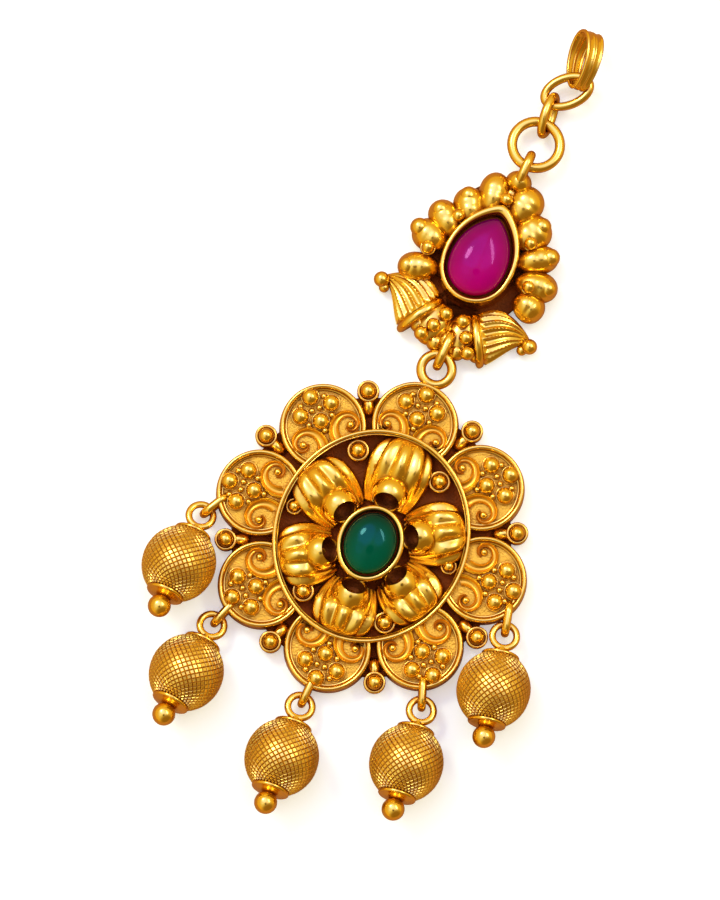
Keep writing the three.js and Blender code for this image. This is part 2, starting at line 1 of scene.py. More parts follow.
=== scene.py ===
# %% [markdown]
# # A gold maang tikka, with Blender
# A maang tikka hangs on the forehead from a hook in the hair. This one lies face up on a pale table.
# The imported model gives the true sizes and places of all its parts. Here each part is modelled again
# in full detail, at the same place, and gets its gold or its stone.
#
# All lengths below are millimetres. `MM` turns them into Blender's metres.

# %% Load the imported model
import math

import bpy
from mathutils import Matrix, Vector


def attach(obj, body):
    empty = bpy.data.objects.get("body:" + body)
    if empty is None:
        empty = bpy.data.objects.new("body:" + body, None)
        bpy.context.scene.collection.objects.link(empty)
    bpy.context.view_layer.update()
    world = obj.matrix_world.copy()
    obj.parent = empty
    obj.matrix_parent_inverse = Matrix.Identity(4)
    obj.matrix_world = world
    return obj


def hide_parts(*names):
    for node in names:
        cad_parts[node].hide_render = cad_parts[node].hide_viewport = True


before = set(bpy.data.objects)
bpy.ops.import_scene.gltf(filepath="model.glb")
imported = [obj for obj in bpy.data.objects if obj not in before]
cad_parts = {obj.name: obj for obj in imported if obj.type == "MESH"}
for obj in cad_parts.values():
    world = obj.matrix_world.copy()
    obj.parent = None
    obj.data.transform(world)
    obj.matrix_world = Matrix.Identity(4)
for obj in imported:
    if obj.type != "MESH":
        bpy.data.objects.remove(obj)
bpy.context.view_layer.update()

MM = 0.001
print("packed nodes:", ", ".join(sorted(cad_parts)))

# %% [markdown]
# ## Helpers for modelling
# An operator works on whatever is selected, so each piece starts with nothing selected. A finished
# piece keeps its place in its mesh, and its object stays at the origin. `mould` moves every corner of
# a mesh by a rule, as a jeweller pushes wax, and it is how a sphere becomes a petal. `moved` takes a
# piece to its place, and `copied` does the same with a copy of it.

# %% Helpers
def deselect():
    bpy.ops.object.select_all(action="DESELECT")


def named(name):
    """Names the primitive that was just added and puts its place into its mesh."""
    piece = bpy.context.object
    piece.name = piece.data.name = name
    bpy.ops.object.transform_apply(location=True, rotation=True, scale=True)
    return piece


def only(piece):
    deselect()
    piece.select_set(True)
    bpy.context.view_layer.objects.active = piece


def mould(piece, rule):
    """Gives each corner the place that the rule says, both in millimetres."""
    for corner in piece.data.vertices:
        corner.co = Vector(rule(corner.co / MM)) * MM
    return piece


def outwards(piece):
    """Merges doubled corners and turns all faces outwards."""
    only(piece)
    bpy.ops.object.mode_set(mode="EDIT")
    bpy.ops.mesh.select_all(action="SELECT")
    bpy.ops.mesh.remove_doubles(threshold=1e-7)
    bpy.ops.mesh.normals_make_consistent(inside=False)
    bpy.ops.object.mode_set(mode="OBJECT")
    return piece


def smooth(piece, degrees=40):
    only(piece)
    bpy.ops.object.shade_smooth_by_angle(angle=math.radians(degrees))
    return piece


def moved(piece, matrix):
    """Moves a piece by a matrix in millimetres. A mirrored piece keeps its faces outwards."""
    place = matrix.copy()
    place.translation = place.translation * MM
    piece.data.transform(place)
    if matrix.determinant() < 0:
        piece.data.flip_normals()
    return piece


def copied(piece, matrix):
    """A copy with its own mesh, moved by a matrix in millimetres."""
    twin = piece.copy()
    twin.data = piece.data.copy()
    bpy.context.collection.objects.link(twin)
    return moved(twin, matrix)


def discard(*templates):
    for template in templates:
        bpy.data.objects.remove(template)


def joined(name, pieces):
    """One piece from several, each keeping the materials of its faces."""
    only(pieces[0])
    for piece in pieces[1:]:
        piece.select_set(True)
    bpy.ops.object.join()
    whole = bpy.context.object
    whole.name = whole.data.name = name
    return whole


def turn_x(degrees):
    return Matrix.Rotation(math.radians(degrees), 4, "X")


def turn_y(degrees):
    return Matrix.Rotation(math.radians(degrees), 4, "Y")


def turn_z(degrees):
    return Matrix.Rotation(math.radians(degrees), 4, "Z")


def shift(x, y, z=0):
    return Matrix.Translation((x, y, z))


def away(bearing, distance):
    """A step over the table, its bearing counted from +X towards +Y."""
    angle = math.radians(bearing)
    return Vector((distance * math.cos(angle), distance * math.sin(angle)))


# %% [markdown]
# ## The camera
# The photograph looks almost straight down, from a little below the drops, through a long lens, and
# the tikka lies askew in it. The camera's axes are given as directions on the table.

# %% Camera
VIEW_MIDDLE = Vector((-4.33, 7.88, 2.0))
VIEW_RIGHT = Vector((0.9317, 0.3633, 0.0)).normalized()
VIEW_HEIGHT = 92.9
VIEW_DISTANCE = 400.0
VIEW_RISE = 85.0

table_up = Vector((-VIEW_RIGHT.y, VIEW_RIGHT.x, 0))
rise = math.radians(VIEW_RISE)
backwards = (Vector((0, 0, 1)) * math.sin(rise) - table_up * math.cos(rise)).normalized()
upwards = backwards.cross(VIEW_RIGHT)

lens = bpy.data.cameras.new("camera")
lens.sensor_width = 36.0
lens.lens = lens.sensor_width * VIEW_DISTANCE / VIEW_HEIGHT
lens.clip_start, lens.clip_end = 0.01, 10.0
camera = bpy.data.objects.new("camera", lens)
bpy.context.collection.objects.link(camera)
axes = Matrix((VIEW_RIGHT, upwards, backwards)).transposed().to_4x4()
axes.translation = (VIEW_MIDDLE + backwards * VIEW_DISTANCE) * MM
camera.matrix_world = axes
bpy.context.scene.camera = camera
print(f"camera {VIEW_DISTANCE:.0f} mm away, lens {lens.lens:.0f} mm")

# %% [markdown]
# ## Nodes, in short
# Materials and sky are node trees. These helpers add a node and feed its inputs, each with a value or
# from another node's socket, so that a recipe reads as one line a node.

# %% Node helpers
def feed(tree, socket, value):
    if isinstance(value, bpy.types.NodeSocket):
        tree.links.new(value, socket)
    else:
        socket.default_value = value


def fed(tree, made, **inputs):
    """Feeds a node's inputs by their names, with _ for a space."""
    for key, value in inputs.items():
        feed(tree, made.inputs[key.replace("_", " ")], value)
    return made


def node(tree, kind, settings=None, **inputs):
    made = tree.nodes.new("ShaderNode" + kind)
    for key, value in (settings or {}).items():
        setattr(made, key, value)
    return fed(tree, made, **inputs)


def maths(tree, operation, *values, clamp=False):
    made = node(tree, "Math", {"operation": operation, "use_clamp": clamp})
    for socket, value in zip(made.inputs, values):
        feed(tree, socket, value)
    return made.outputs[0]


def dot(tree, first, second):
    """How far two directions agree: 1 along each other and -1 against."""
    made = node(tree, "VectorMath", {"operation": "DOT_PRODUCT"})
    feed(tree, made.inputs[0], first)
    feed(tree, made.inputs[1], second)
    return made.outputs["Value"]


def mixed(tree, share, first, second):
    """A colour between two, by a share from 0 to 1."""
    made = node(tree, "Mix", {"data_type": "RGBA"})
    for place, value in ((0, share), (6, first), (7, second)):
        feed(tree, made.inputs[place], value)
    return made.outputs[2]


def new_material(name):
    """A material, its node tree and its Principled shader."""
    material = bpy.data.materials.new(name)
    material.use_nodes = True
    return material, material.node_tree, material.node_tree.nodes["Principled BSDF"]


# %% [markdown]
# ## Table and light
# Polished gold has no colour of its own: it shows what is round it. A photographer sets a soft white
# tent over jewellery, and each bead shows the tent with a small dark spot where the lens looks in.
# The sky here is such a tent: dim and warm at the sides, with bright patches above and dark openings.
# The table is pale to the camera, but gold that looks down at it sees a darker, warmer card, as in a
# studio where dark cards are laid round the piece to give its edges depth. It glows a little of its
# own, so that it stays white where the ornament shades it.

# %% Table
TABLE_SIZE, TABLE_DROP = 3000.0, 0.02
deselect()
bpy.ops.mesh.primitive_plane_add(size=TABLE_SIZE * MM, location=(0, 0, -TABLE_DROP * MM))
table = named("table")
table_paint, tree, shader = new_material("table_paint")
fed(tree, shader, Base_Color=(0.84, 0.86, 0.42, 1), Roughness=0.9, Specular_IOR_Level=0.1,
    Emission_Color=(1.0, 0.99, 0.96, 1), Emission_Strength=0.42)
card = node(tree, "BsdfDiffuse", Color=(0.5, 0.27, 0.08, 1))
both = node(tree, "MixShader", Fac=node(tree, "LightPath").outputs["Is Glossy Ray"])
feed(tree, both.inputs[1], shader.outputs[0])
feed(tree, both.inputs[2], card.outputs[0])
fed(tree, tree.nodes["Material Output"], Surface=both.outputs[0])
table.data.materials.append(table_paint)

# %% [markdown]
# The tent is painted in patches, each over the ones before it. A patch lies in a direction given by
# the picture's right, the picture's top and straight up. The last two are dark: the small opening of
# the lens, and a dark card low in front. The bright patches are bluish, because gold takes the blue
# out of what it mirrors, and so its highlights still come out nearly white.

# %% Tent
SIDE_GLOW = (0.87, 0.6, 0.18, 1)
TENT = [
    {"toward": (0, 0, 1), "spread": 38, "edge": 34, "glow": (0.86, 0.83, 0.95, 1)},
    {"toward": (-0.15, 0.3, 1), "spread": 22, "edge": 20, "glow": (1.12, 1.08, 1.45, 1)},
    {"toward": (-0.25, 0.45, 1), "spread": 16, "edge": 14, "glow": (1.3, 1.42, 5.6, 1)},
    {"toward": (0.5, 0.2, 1), "spread": 11, "edge": 10, "glow": (1.15, 1.2, 4.2, 1)},
    {"toward": (-0.6, -0.1, 1), "spread": 8, "edge": 8, "glow": (1.03, 1.1, 2.4, 1)},
    {"toward": (0.02, -0.22, 1), "spread": 7, "edge": 6, "glow": (0.04, 0.02, 0.005, 1)},
    {"toward": (0.4, -0.85, 0.4), "spread": 26, "edge": 38, "glow": (0.3, 0.18, 0.06, 1)},
]
world = bpy.data.worlds.new("tent")
bpy.context.scene.world = world
world.use_nodes = True
sky = world.node_tree
sky.nodes.clear()
looking = node(sky, "TexCoord").outputs["Generated"]


def sky_direction(right, up, over):
    """A direction from the picture's right, the picture's top, and straight over the table."""
    return VIEW_RIGHT * right + table_up * up + Vector((0, 0, 1)) * over


def patch(centre, spread, edge):
    """1 within the spread of the patch's centre, in degrees, and 0 past its soft edge."""
    agree = dot(sky, looking, centre.normalized())
    mask = node(sky, "MapRange", {"interpolation_type": "SMOOTHSTEP"}, Value=agree,
                From_Min=math.cos(math.radians(spread + edge)), From_Max=math.cos(math.radians(spread)))
    return mask.outputs[0]


cloth = SIDE_GLOW
for row in TENT:
    cloth = mixed(sky, patch(sky_direction(*row["toward"]), row["spread"], row["edge"]), cloth, row["glow"])
glow = node(sky, "Background", Color=cloth, Strength=1.0)
node(sky, "OutputWorld", Surface=glow.outputs[0])
print("tent of", len(TENT), "patches")

# %% [markdown]
# Two soft lamps give the table its faint shadows and the stones their window reflections. They are
# cool, because the gold turns their light yellow by itself. The Standard view keeps the gold's strong
# colour, which a filmic view would wash out.

# %% Lamps
LAMP_COLOUR = (0.7, 0.76, 1.0)
LAMPS = [
    {"name": "key_lamp", "at": (-260, 330, 520), "long": 190, "wide": 150, "power": 1.7},
    {"name": "side_lamp", "at": (330, 160, 470), "long": 330, "wide": 70, "power": 0.85},
]
for row in LAMPS:
    light = bpy.data.lights.new(row["name"], "AREA")
    light.shape, light.size, light.size_y = "ELLIPSE", row["long"] * MM, row["wide"] * MM
    light.energy, light.color = row["power"], LAMP_COLOUR
    lamp = bpy.data.objects.new(row["name"], light)
    bpy.context.collection.objects.link(lamp)
    lamp.location = (sky_direction(*row["at"]) + VIEW_MIDDLE) * MM
    lamp.rotation_euler = (VIEW_MIDDLE * MM - lamp.location).to_track_quat("-Z", "Y").to_euler()
bpy.context.scene.view_settings.view_transform = "Standard"
bpy.context.scene.view_settings.look = "None"
print("lamps:", ", ".join(row["name"] for row in LAMPS))

# %% [markdown]
# ## Gold
# All the gold here is one alloy, near 22 carat, finished in different ways. What differs is how
# smooth it is, how far dark oxide and painted shade sit in its recesses, and whether its ground is
# stippled. Two effects serve every gold, so each is a node group, built once. One darkens what lies
# deep between its neighbours, partly as the oxide of the real piece and partly as painted shade, and
# the materials feed it from an Ambient Occlusion node. `cast_skin` gives the slight unevenness of hand
# finishing, as a height for a Bump node.

# %% Shared node groups
OXIDE_AND_SHADE = (0.26, 0.055, 0.005, 1)
OPEN, CLOSED = 0.92, 0.25
STAIN_SCALE, STAIN_SHARE = 30000.0, 0.5
WAVE_SCALE = 700.0


def new_group(name, inputs, outputs):
    group = bpy.data.node_groups.new(name, "ShaderNodeTree")
    for socket, kind, value in inputs:
        made = group.interface.new_socket(socket, in_out="INPUT", socket_type="NodeSocket" + kind)
        made.default_value = value
    for socket, kind in outputs:
        group.interface.new_socket(socket, in_out="OUTPUT", socket_type="NodeSocket" + kind)
    return group, group.nodes.new("NodeGroupInput").outputs, group.nodes.new("NodeGroupOutput")


def grouped(tree, group, **inputs):
    """A use of a node group in a material."""
    made = tree.nodes.new("ShaderNodeGroup")
    made.node_tree = group
    return fed(tree, made, **inputs)


recess, given, told = new_group(
    "oxide_and_shade_recess",
    [("Openness", "Float", 1.0), ("Depth", "Float", 0.6), ("Gold", "Color", (1, 1, 1, 1)),
     ("Oxide And Shade", "Color", OXIDE_AND_SHADE), ("Smooth", "Float", 0.15), ("Rough", "Float", 0.5)],
    [("Color", "Color"), ("Roughness", "Float"), ("Mask", "Float")],
)
# Painted shade and oxide: the recess darkens where neighbours close in, partly the real piece's oxide.
hidden = node(recess, "MapRange", {"interpolation_type": "SMOOTHSTEP"},
              Value=given["Openness"], From_Min=OPEN, From_Max=CLOSED)
where = node(recess, "TexCoord").outputs["Object"]
stains = node(recess, "TexNoise", Vector=where, Scale=STAIN_SCALE, Detail=3.0)
broken = maths(recess, "MULTIPLY_ADD", stains.outputs["Fac"], STAIN_SHARE, 1 - STAIN_SHARE / 2)
stained = maths(recess, "MULTIPLY", hidden.outputs[0], broken)
dark = maths(recess, "MULTIPLY", stained, given["Depth"], clamp=True)
rough = node(recess, "MapRange", Value=dark, To_Min=given["Smooth"], To_Max=given["Rough"])
aged_and_shaded = mixed(recess, dark, given["Gold"], given["Oxide And Shade"])
fed(recess, told, Color=aged_and_shaded, Roughness=rough.outputs[0], Mask=dark)

skin, given, told = new_group(
    "cast_skin",
    [("Wave", "Float", 0.5), ("Grain", "Float", 0.5), ("Grain Scale", "Float", 9000.0)],
    [("Height", "Float")],
)
where = node(skin, "TexCoord").outputs["Object"]
wave = node(skin, "TexNoise", Vector=where, Scale=WAVE_SCALE, Detail=1.0)
grain = node(skin, "TexNoise", Vector=where, Scale=given["Grain Scale"], Detail=2.0)
swell = maths(skin, "MULTIPLY", wave.outputs["Fac"], given["Wave"])
stipple = maths(skin, "MULTIPLY", grain.outputs["Fac"], given["Grain"])
fed(skin, told, Height=maths(skin, "ADD", swell, stipple))
print("node groups:", recess.name, "and", skin.name)

# %% [markdown]
# Each finish is then a short recipe of those two groups. Gold turns amber where it slopes away from
# the eye, since it mirrors the warm sides of the room there, so every recipe paints some amber into its
# colour by the Layer Weight node, a painted reflection. Polished gold is for grains, wires, rims, horns
# and the chain. Satin gold is for the brushed petals and lobes, and dished gold, darker as painted
# shade, for the hollow bands of the scrolls. Stippled gold is the matt ground inside the scallops. The
# nearly black gold is painted shade: the floor under the ornament, the knuckles' bores and the stones'
# seats. Knurled gold has its oxide and painted shade only in the narrow grooves of the drops, and so
# strong a painted amber on its slopes that the balls darken towards their outline.

# %% Gold materials
GOLD = (0.96, 0.6, 0.058, 1)
GROUND_GOLD = (0.82, 0.44, 0.03, 1)
DISH_SHADE_GOLD = (0.93, 0.45, 0.025, 1)
SHADE_BLACK_GOLD = (0.09, 0.023, 0.003, 1)
PALE_GOLD = (1.0, 0.66, 0.075, 1)
REFLECTED_AMBER = (0.66, 0.27, 0.012, 1)
REFLECTED_AMBER_FALL = 1.6


def gold_finish(name, colour, even, rough, depth, wave, grain, scale=9000.0, bump=0.03, reach=0.7,
                edge=0.3):
    """A gold by its colour, its roughness on even ground and in a recess, and the depth of its oxide and
    painted shade.

    Reach is how far off a neighbour still shades it, and edge how strong the painted amber reflection
    on its slopes is. The skin has waves and grains of a scale, and stands out by the bump.
    """
    material, tree, shader = new_material(name)
    open_sky = node(tree, "AmbientOcclusion", {"samples": 6}, Distance=reach * MM)
    # Painted reflection: amber mixed into the colour where the surface slopes away from the eye.
    sloping = node(tree, "LayerWeight", Blend=0.5).outputs["Facing"]
    painted_amber = maths(tree, "MULTIPLY", maths(tree, "POWER", sloping, REFLECTED_AMBER_FALL), edge, clamp=True)
    aged_and_shaded = grouped(tree, recess, Openness=open_sky.outputs["AO"], Gold=mixed(tree, painted_amber, colour, REFLECTED_AMBER),
                   Depth=depth, Smooth=even, Rough=rough).outputs
    cast = grouped(tree, skin, Wave=wave, Grain=grain, Grain_Scale=scale)
    relief = node(tree, "Bump", Strength=1.0, Height=cast.outputs["Height"], Distance=bump * MM)
    fed(tree, shader, Normal=relief.outputs["Normal"], Base_Color=aged_and_shaded["Color"],
        Roughness=aged_and_shaded["Roughness"], Metallic=1.0)
    return material


polished = gold_finish("polished_gold", GOLD, even=0.17, rough=0.4, depth=0.5, wave=0.35, grain=0.05,
                       edge=0.5)
satin = gold_finish("satin_gold", GOLD, even=0.21, rough=0.42, depth=0.65, wave=0.7, grain=0.12, scale=5000.0,
                    edge=0.5)
# Dished gold is darker, as painted shade in the scrolls' hollow bands.
dished = gold_finish("dished_gold", DISH_SHADE_GOLD, even=0.26, rough=0.45, depth=0.6, wave=0.4, grain=0.12,
                     scale=5000.0)
stippled = gold_finish("stippled_gold", GROUND_GOLD, even=0.45, rough=0.55, depth=0.75, wave=0.3, grain=1.0,
                       scale=5500.0, bump=0.12, reach=0.5)
# Nearly black gold, painted shade: the floor under the ornament, the bores and the stones' seats.
shade_black = gold_finish("shade_black_gold", SHADE_BLACK_GOLD, even=0.5, rough=0.7, depth=0.8, wave=0.5, grain=0.8,
                        scale=4000.0, bump=0.08, reach=1.2)
# Knurled gold: oxide and painted shade in its grooves, and a strong painted amber that darkens the balls
# towards their outline.
knurled = gold_finish("knurled_gold", PALE_GOLD, even=0.31, rough=0.5, depth=0.9, wave=0.3, grain=0.1,
                      scale=6000.0, reach=0.2, edge=0.95)
print("gold finishes:", ", ".join(m.name for m in (polished, satin, dished, stippled, shade_black, knurled)))


def finish_faces(piece, materials, choose=lambda face: 0):
    """Gives the piece its materials, and each face the one whose number the rule returns."""
    piece.data.materials.clear()
    for material in materials:
        piece.data.materials.append(material)
    for face in piece.data.polygons:
        face.material_index = choose(face)
    return piece


def done(piece, slot, *nodes):
    """The finished piece rides on the body and stands for its nodes, which it hides. The slot is not used."""
    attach(piece, "root")
    if nodes:
        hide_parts(*nodes)
    print(f"{piece.name}: {len(piece.data.polygons)} faces")
    return piece


# %% [markdown]
# ## Turned parts
# Collars, bezels and the scallops' rims are turned on a lathe. In Blender a circle of edges is drawn
# up from ring to ring of a profile: extrude, then resize. It needs only two operators a step, and the
# rings can be as close as the curve asks. Balls and rings of wire are primitives.

# %% Turning a profile
POINT = 1e-4


def turned(name, profile, sides, closed=False):
    """A turned piece from rings of (radius, height). A last radius of 0 closes it to a point."""
    radius, height = profile[0]
    deselect()
    bpy.ops.mesh.primitive_circle_add(vertices=sides, radius=radius * MM, location=(0, 0, height * MM))
    piece = named(name)
    bpy.ops.object.mode_set(mode="EDIT")
    bpy.ops.mesh.select_all(action="SELECT")
    for next_radius, next_height in profile[1:]:
        lift = (0, 0, (next_height - height) * MM)
        bpy.ops.mesh.extrude_region_move(TRANSFORM_OT_translate={"value": lift})
        grow = max(next_radius, POINT) / radius
        bpy.ops.transform.resize(value=(grow, grow, 1), center_override=(0, 0, next_height * MM))
        radius, height = max(next_radius, POINT), next_height
    if profile[-1][0] == 0:
        bpy.ops.mesh.merge(type="CENTER")
    bpy.ops.mesh.select_all(action="SELECT")
    bpy.ops.mesh.remove_doubles(threshold=1e-8)
    if not closed:
        bpy.ops.mesh.fill_holes(sides=0)
    bpy.ops.mesh.select_all(action="SELECT")
    bpy.ops.mesh.normals_make_consistent(inside=False)
    bpy.ops.object.mode_set(mode="OBJECT")
    return piece


def arc_profile(middle, height, radius, start, stop, steps, tall=1.0):
    """Rings along a round edge, from one angle to another, in degrees from straight out."""
    rings = []
    for i in range(steps + 1):
        angle = math.radians(start + (stop - start) * i / steps)
        rings.append((max(middle + radius * math.cos(angle), 0), height + tall * radius * math.sin(angle)))
    return rings


def ball(name, radius, x=0, y=0, z=0, sides=24, rings=14):
    deselect()
    bpy.ops.mesh.primitive_uv_sphere_add(
        segments=sides, ring_count=rings, radius=radius * MM, location=(x * MM, y * MM, z * MM))
    return named(name)


def wire_ring(name, radius, wire, sides=48, around=14):
    deselect()
    bpy.ops.mesh.primitive_torus_add(
        major_radius=radius * MM, minor_radius=wire * MM, major_segments=sides, minor_segments=around)
    return named(name)


# %% [markdown]
# ## The scallops
# Eight round scallops stand round the medallion. Each is a low cup with a doubled rim, a stippled
# ground, four large grains with tiny ones between them, and two scrolls that curl apart. One is
# modelled and copied.
#
# A scroll is a logarithmic spiral: the same turn and the same shrink, about the same eye, again and
# again. So a small profile is extruded, rotated and resized about the eye, step by step. The profile
# has a sharp outer edge, a dished band and a low inner edge, and the band gets a darker gold, painted
# shade of its hollow.

# %% Scroll
SCALLOPS = 8
SCALLOP_ORBIT = 12.35
SCALLOP_RADIUS = 4.44
FIELD_TOP = 2.2
SCROLL_EYE = Vector((-0.95, 2.6, FIELD_TOP))
SCROLL_START, SCROLL_START_AT = 2.38, -105
SCROLL_SHRINK, SCROLL_SINK = 0.243, 0.985
SCROLL_FROM, SCROLL_TO, SCROLL_STEP = -128, 262, 10
SCROLL_BAND = (-0.96, -0.25)
SCROLL_PROFILE = [
    (0.2, -0.3), (0.2, 0.2), (0.14, 0.36), (0.03, 0.43), (-0.08, 0.37), (-0.15, 0.2), (-0.34, 0.05),
    (-0.6, 0.02), (-0.84, 0.14), (-0.95, 0.27), (-1.02, 0.22), (-1.05, 0.02), (-1.05, -0.3),
]


def spiral(bearing):
    """How far the scroll's edge stands from its eye at a bearing, which counts on past each turn."""
    return SCROLL_START * math.exp(-SCROLL_SHRINK * math.radians(bearing - SCROLL_START_AT))


def scroll():
    deselect()
    bpy.ops.mesh.primitive_circle_add(vertices=len(SCROLL_PROFILE), radius=MM, fill_type="NGON")
    piece = named("scroll")
    reach = spiral(SCROLL_FROM)
    along = away(SCROLL_FROM, 1.0)
    for corner, (out, up) in zip(piece.data.vertices, SCROLL_PROFILE):
        flat = along * (reach + out * reach / SCROLL_START)
        corner.co = Vector((SCROLL_EYE.x + flat.x, SCROLL_EYE.y + flat.y, SCROLL_EYE.z + up)) * MM
    only(piece)
    bpy.ops.object.mode_set(mode="EDIT")
    bpy.ops.mesh.select_all(action="SELECT")
    step = math.radians(SCROLL_STEP)
    shrink = math.exp(-SCROLL_SHRINK * step)
    for i in range((SCROLL_TO - SCROLL_FROM) // SCROLL_STEP):
        bpy.ops.mesh.extrude_region_move()
        bpy.ops.transform.resize(value=(shrink, shrink, SCROLL_SINK), center_override=SCROLL_EYE * MM)
        bpy.ops.transform.rotate(value=-step, orient_axis="Z", center_override=SCROLL_EYE * MM)
    bpy.ops.object.mode_set(mode="OBJECT")
    return outwards(piece)


def in_dish(face):
    """1 for the faces of the band between the scroll's two edges."""
    flat = (face.center / MM - SCROLL_EYE).xy
    bearing = math.degrees(math.atan2(flat.y, flat.x))
    for turned_to in (bearing, bearing + 360):
        reach = spiral(turned_to)
        inwards = (flat.length - reach) / (reach / SCROLL_START)
        if SCROLL_FROM <= turned_to <= SCROLL_TO and SCROLL_BAND[0] < inwards < SCROLL_BAND[1]:
            return 1
    return 0


# The dished band's faces get the darker gold, painted shade.
one_scroll = finish_faces(scroll(), [polished, dished], in_dish)
corners = [c.co / MM for c in one_scroll.data.vertices]
print("scroll reaches x", round(min(c.x for c in corners), 2), "to", round(max(c.x for c in corners), 2),
      "y", round(min(c.y for c in corners), 2), "to", round(max(c.y for c in corners), 2))

# %% [markdown]
# The cup itself is turned: a low wall, a rim of two fine wires with a groove between, and the ground
# inside. The faces of the ground get the stippled gold, and all others the polished one.

# %% Cup of a scallop
RIM_IN = 3.72
cup_profile = (
    [(4.6, 0.0), (4.56, 0.9), (4.5, 1.7), (4.46, 2.1), (4.45, 2.36)]
    + arc_profile(4.22, 2.4, 0.22, 0, 180, 6)
    + [(3.96, 2.28), (3.92, 2.34), (3.86, 2.4), (3.79, 2.38), (3.74, 2.28), (RIM_IN, 2.14)]
    + [(3.5, 2.12), (3.0, 2.15), (2.0, 2.2), (1.0, FIELD_TOP), (0, FIELD_TOP)]
)


def on_ground(face):
    return int(face.center.xy.length < (RIM_IN + 0.03) * MM and face.center.z > MM)


cup = finish_faces(turned("scallop_cup", cup_profile, 96), [polished, stippled], on_ground)
print("cup of a scallop:", len(cup.data.polygons), "faces")

# %% [markdown]
# Each large grain sits in a ring of fine wire, as a soldered grain does, and tiny grains fill the
# places between. The large ones lie in a rhomb that points outwards.

# %% Grains of a scallop
GRAINS = [(3.32, 0.0, 0.9), (1.92, 1.72, 0.9), (1.92, -1.72, 0.9), (0.62, 0.0, 0.88)]
TINY_GRAINS = [
    (1.95, 0.42), (1.95, -0.42), (2.85, 1.32), (2.85, -1.32), (0.72, 1.3), (0.72, -1.3), (-0.45, 0.0)]
TINY, EYE_BEAD = 0.33, 1.15
grain_ball = finish_faces(ball("grain", 1.0, sides=28, rings=16), [polished])
grain_seat = finish_faces(wire_ring("seat", 1.0, 0.11, 32, 8), [polished])
tiny_ball = finish_faces(ball("tiny", TINY, sides=14, rings=9), [polished])
parts = []
for x, y, radius in GRAINS:
    size = Matrix.Scale(radius, 4)
    parts.append(copied(grain_ball, shift(x, y, FIELD_TOP + 0.1) @ size))
    parts.append(copied(grain_seat, shift(x, y, FIELD_TOP + 0.05) @ size))
for x, y in TINY_GRAINS:
    parts.append(copied(tiny_ball, shift(x, y, FIELD_TOP + 0.12)))
in_eye = shift(SCROLL_EYE.x + 0.02, SCROLL_EYE.y + 0.05, FIELD_TOP + 0.1) @ Matrix.Scale(EYE_BEAD, 4)
for side in (1, -1):
    mirror = Matrix.Diagonal((1, side, 1, 1))
    parts.append(copied(one_scroll, mirror))
    parts.append(copied(tiny_ball, mirror @ in_eye))
discard(one_scroll, grain_ball, grain_seat, tiny_ball)
relief = joined("relief", parts)
print("relief of one scallop:", len(relief.data.polygons), "faces")

# %% [markdown]
# The oval ring stands on the scallops, and inside it they are cut away down to the floor, along the
# middle of the ring's wire, so that no cut is ever seen. A Boolean modifier takes an oval cylinder
# out of the cups. The scrolls' tails need only a straight cut, and Bisect is far quicker there.

# %% Cups round the oval
RING_WIDE, RING_LONG, RING_WIRE = 10.1, 11.15, 0.6
CUTTER_HIGH = 8


def oval(p, extra=RING_LONG - RING_WIDE):
    """Stretches a round piece along Y, so that its wire keeps its width."""
    radius = math.hypot(p.x, p.y)
    grow = (radius + extra) / radius if radius > 0.01 else 1.0
    return (p.x, p.y * grow, p.z)


def ellipse(bearing, wide, long):
    """How far an ellipse stands from its middle at a bearing."""
    angle = math.radians(bearing)
    return wide * long / math.hypot(long * math.cos(angle), wide * math.sin(angle))


def at_scallop(k):
    return turn_z(360 / SCALLOPS * k) @ shift(SCALLOP_ORBIT, 0)


cups = joined("scallop_cups", [copied(cup, at_scallop(k)) for k in range(SCALLOPS)])
discard(cup)
bpy.ops.mesh.primitive_cylinder_add(
    vertices=96, radius=(RING_WIDE - RING_WIRE / 2) * MM, depth=CUTTER_HIGH * MM, location=(0, 0, 0))
cutter = mould(named("cutter"), oval)
only(cups)
cut = cups.modifiers.new("well", "BOOLEAN")
cut.operation, cut.solver, cut.object = "DIFFERENCE", "EXACT", cutter
bpy.ops.object.modifier_apply(modifier="well")
discard(cutter)
done(smooth(cups, 38), "gold", "medallion")

# %% Scrolls and grains round the oval
reliefs = []
for k in range(SCALLOPS):
    one = copied(relief, Matrix.Identity(4))
    edge = ellipse(360 / SCALLOPS * k, RING_WIDE, RING_LONG) - RING_WIRE / 2 - SCALLOP_ORBIT
    only(one)
    bpy.ops.object.mode_set(mode="EDIT")
    bpy.ops.mesh.select_all(action="SELECT")
    bpy.ops.mesh.bisect(plane_co=(edge * MM, 0, 0), plane_no=(1, 0, 0), clear_inner=True, use_fill=True)
    bpy.ops.object.mode_set(mode="OBJECT")
    reliefs.append(moved(one, at_scallop(k)))
discard(relief)
done(smooth(joined("scallop_relief", reliefs), 50), "gold")

# %% [markdown]
# ## Back plate and oval ring
# The floor of the medallion is one plate. Its front is painted nearly black, as the shade deep under
# the ornament, and lets the bright parts stand out. The oval ring is a wire with a fine second line
# inside it. It is turned as a round ring and then stretched along Y by the same rule as the cutter above.

# %% Plate
PLATE, PLATE_RADIUS = 0.8, 14.49


def on_back(face):
    """0 on the plate's black front and 1 on its satin edge and back."""
    return int(face.center.z <= (PLATE - 0.1) * MM)


plate = turned("medallion_plate", [
    (PLATE_RADIUS - 0.1, 0.0), (PLATE_RADIUS, 0.1), (PLATE_RADIUS, PLATE - 0.15),
    (PLATE_RADIUS - 0.15, PLATE), (12.0, PLATE), (8.0, PLATE), (0, PLATE)], 128)
# The plate's front gets the nearly black gold, painted shade under the ornament.
finish_faces(plate, [shade_black, satin], on_back)
done(smooth(plate), "gold")

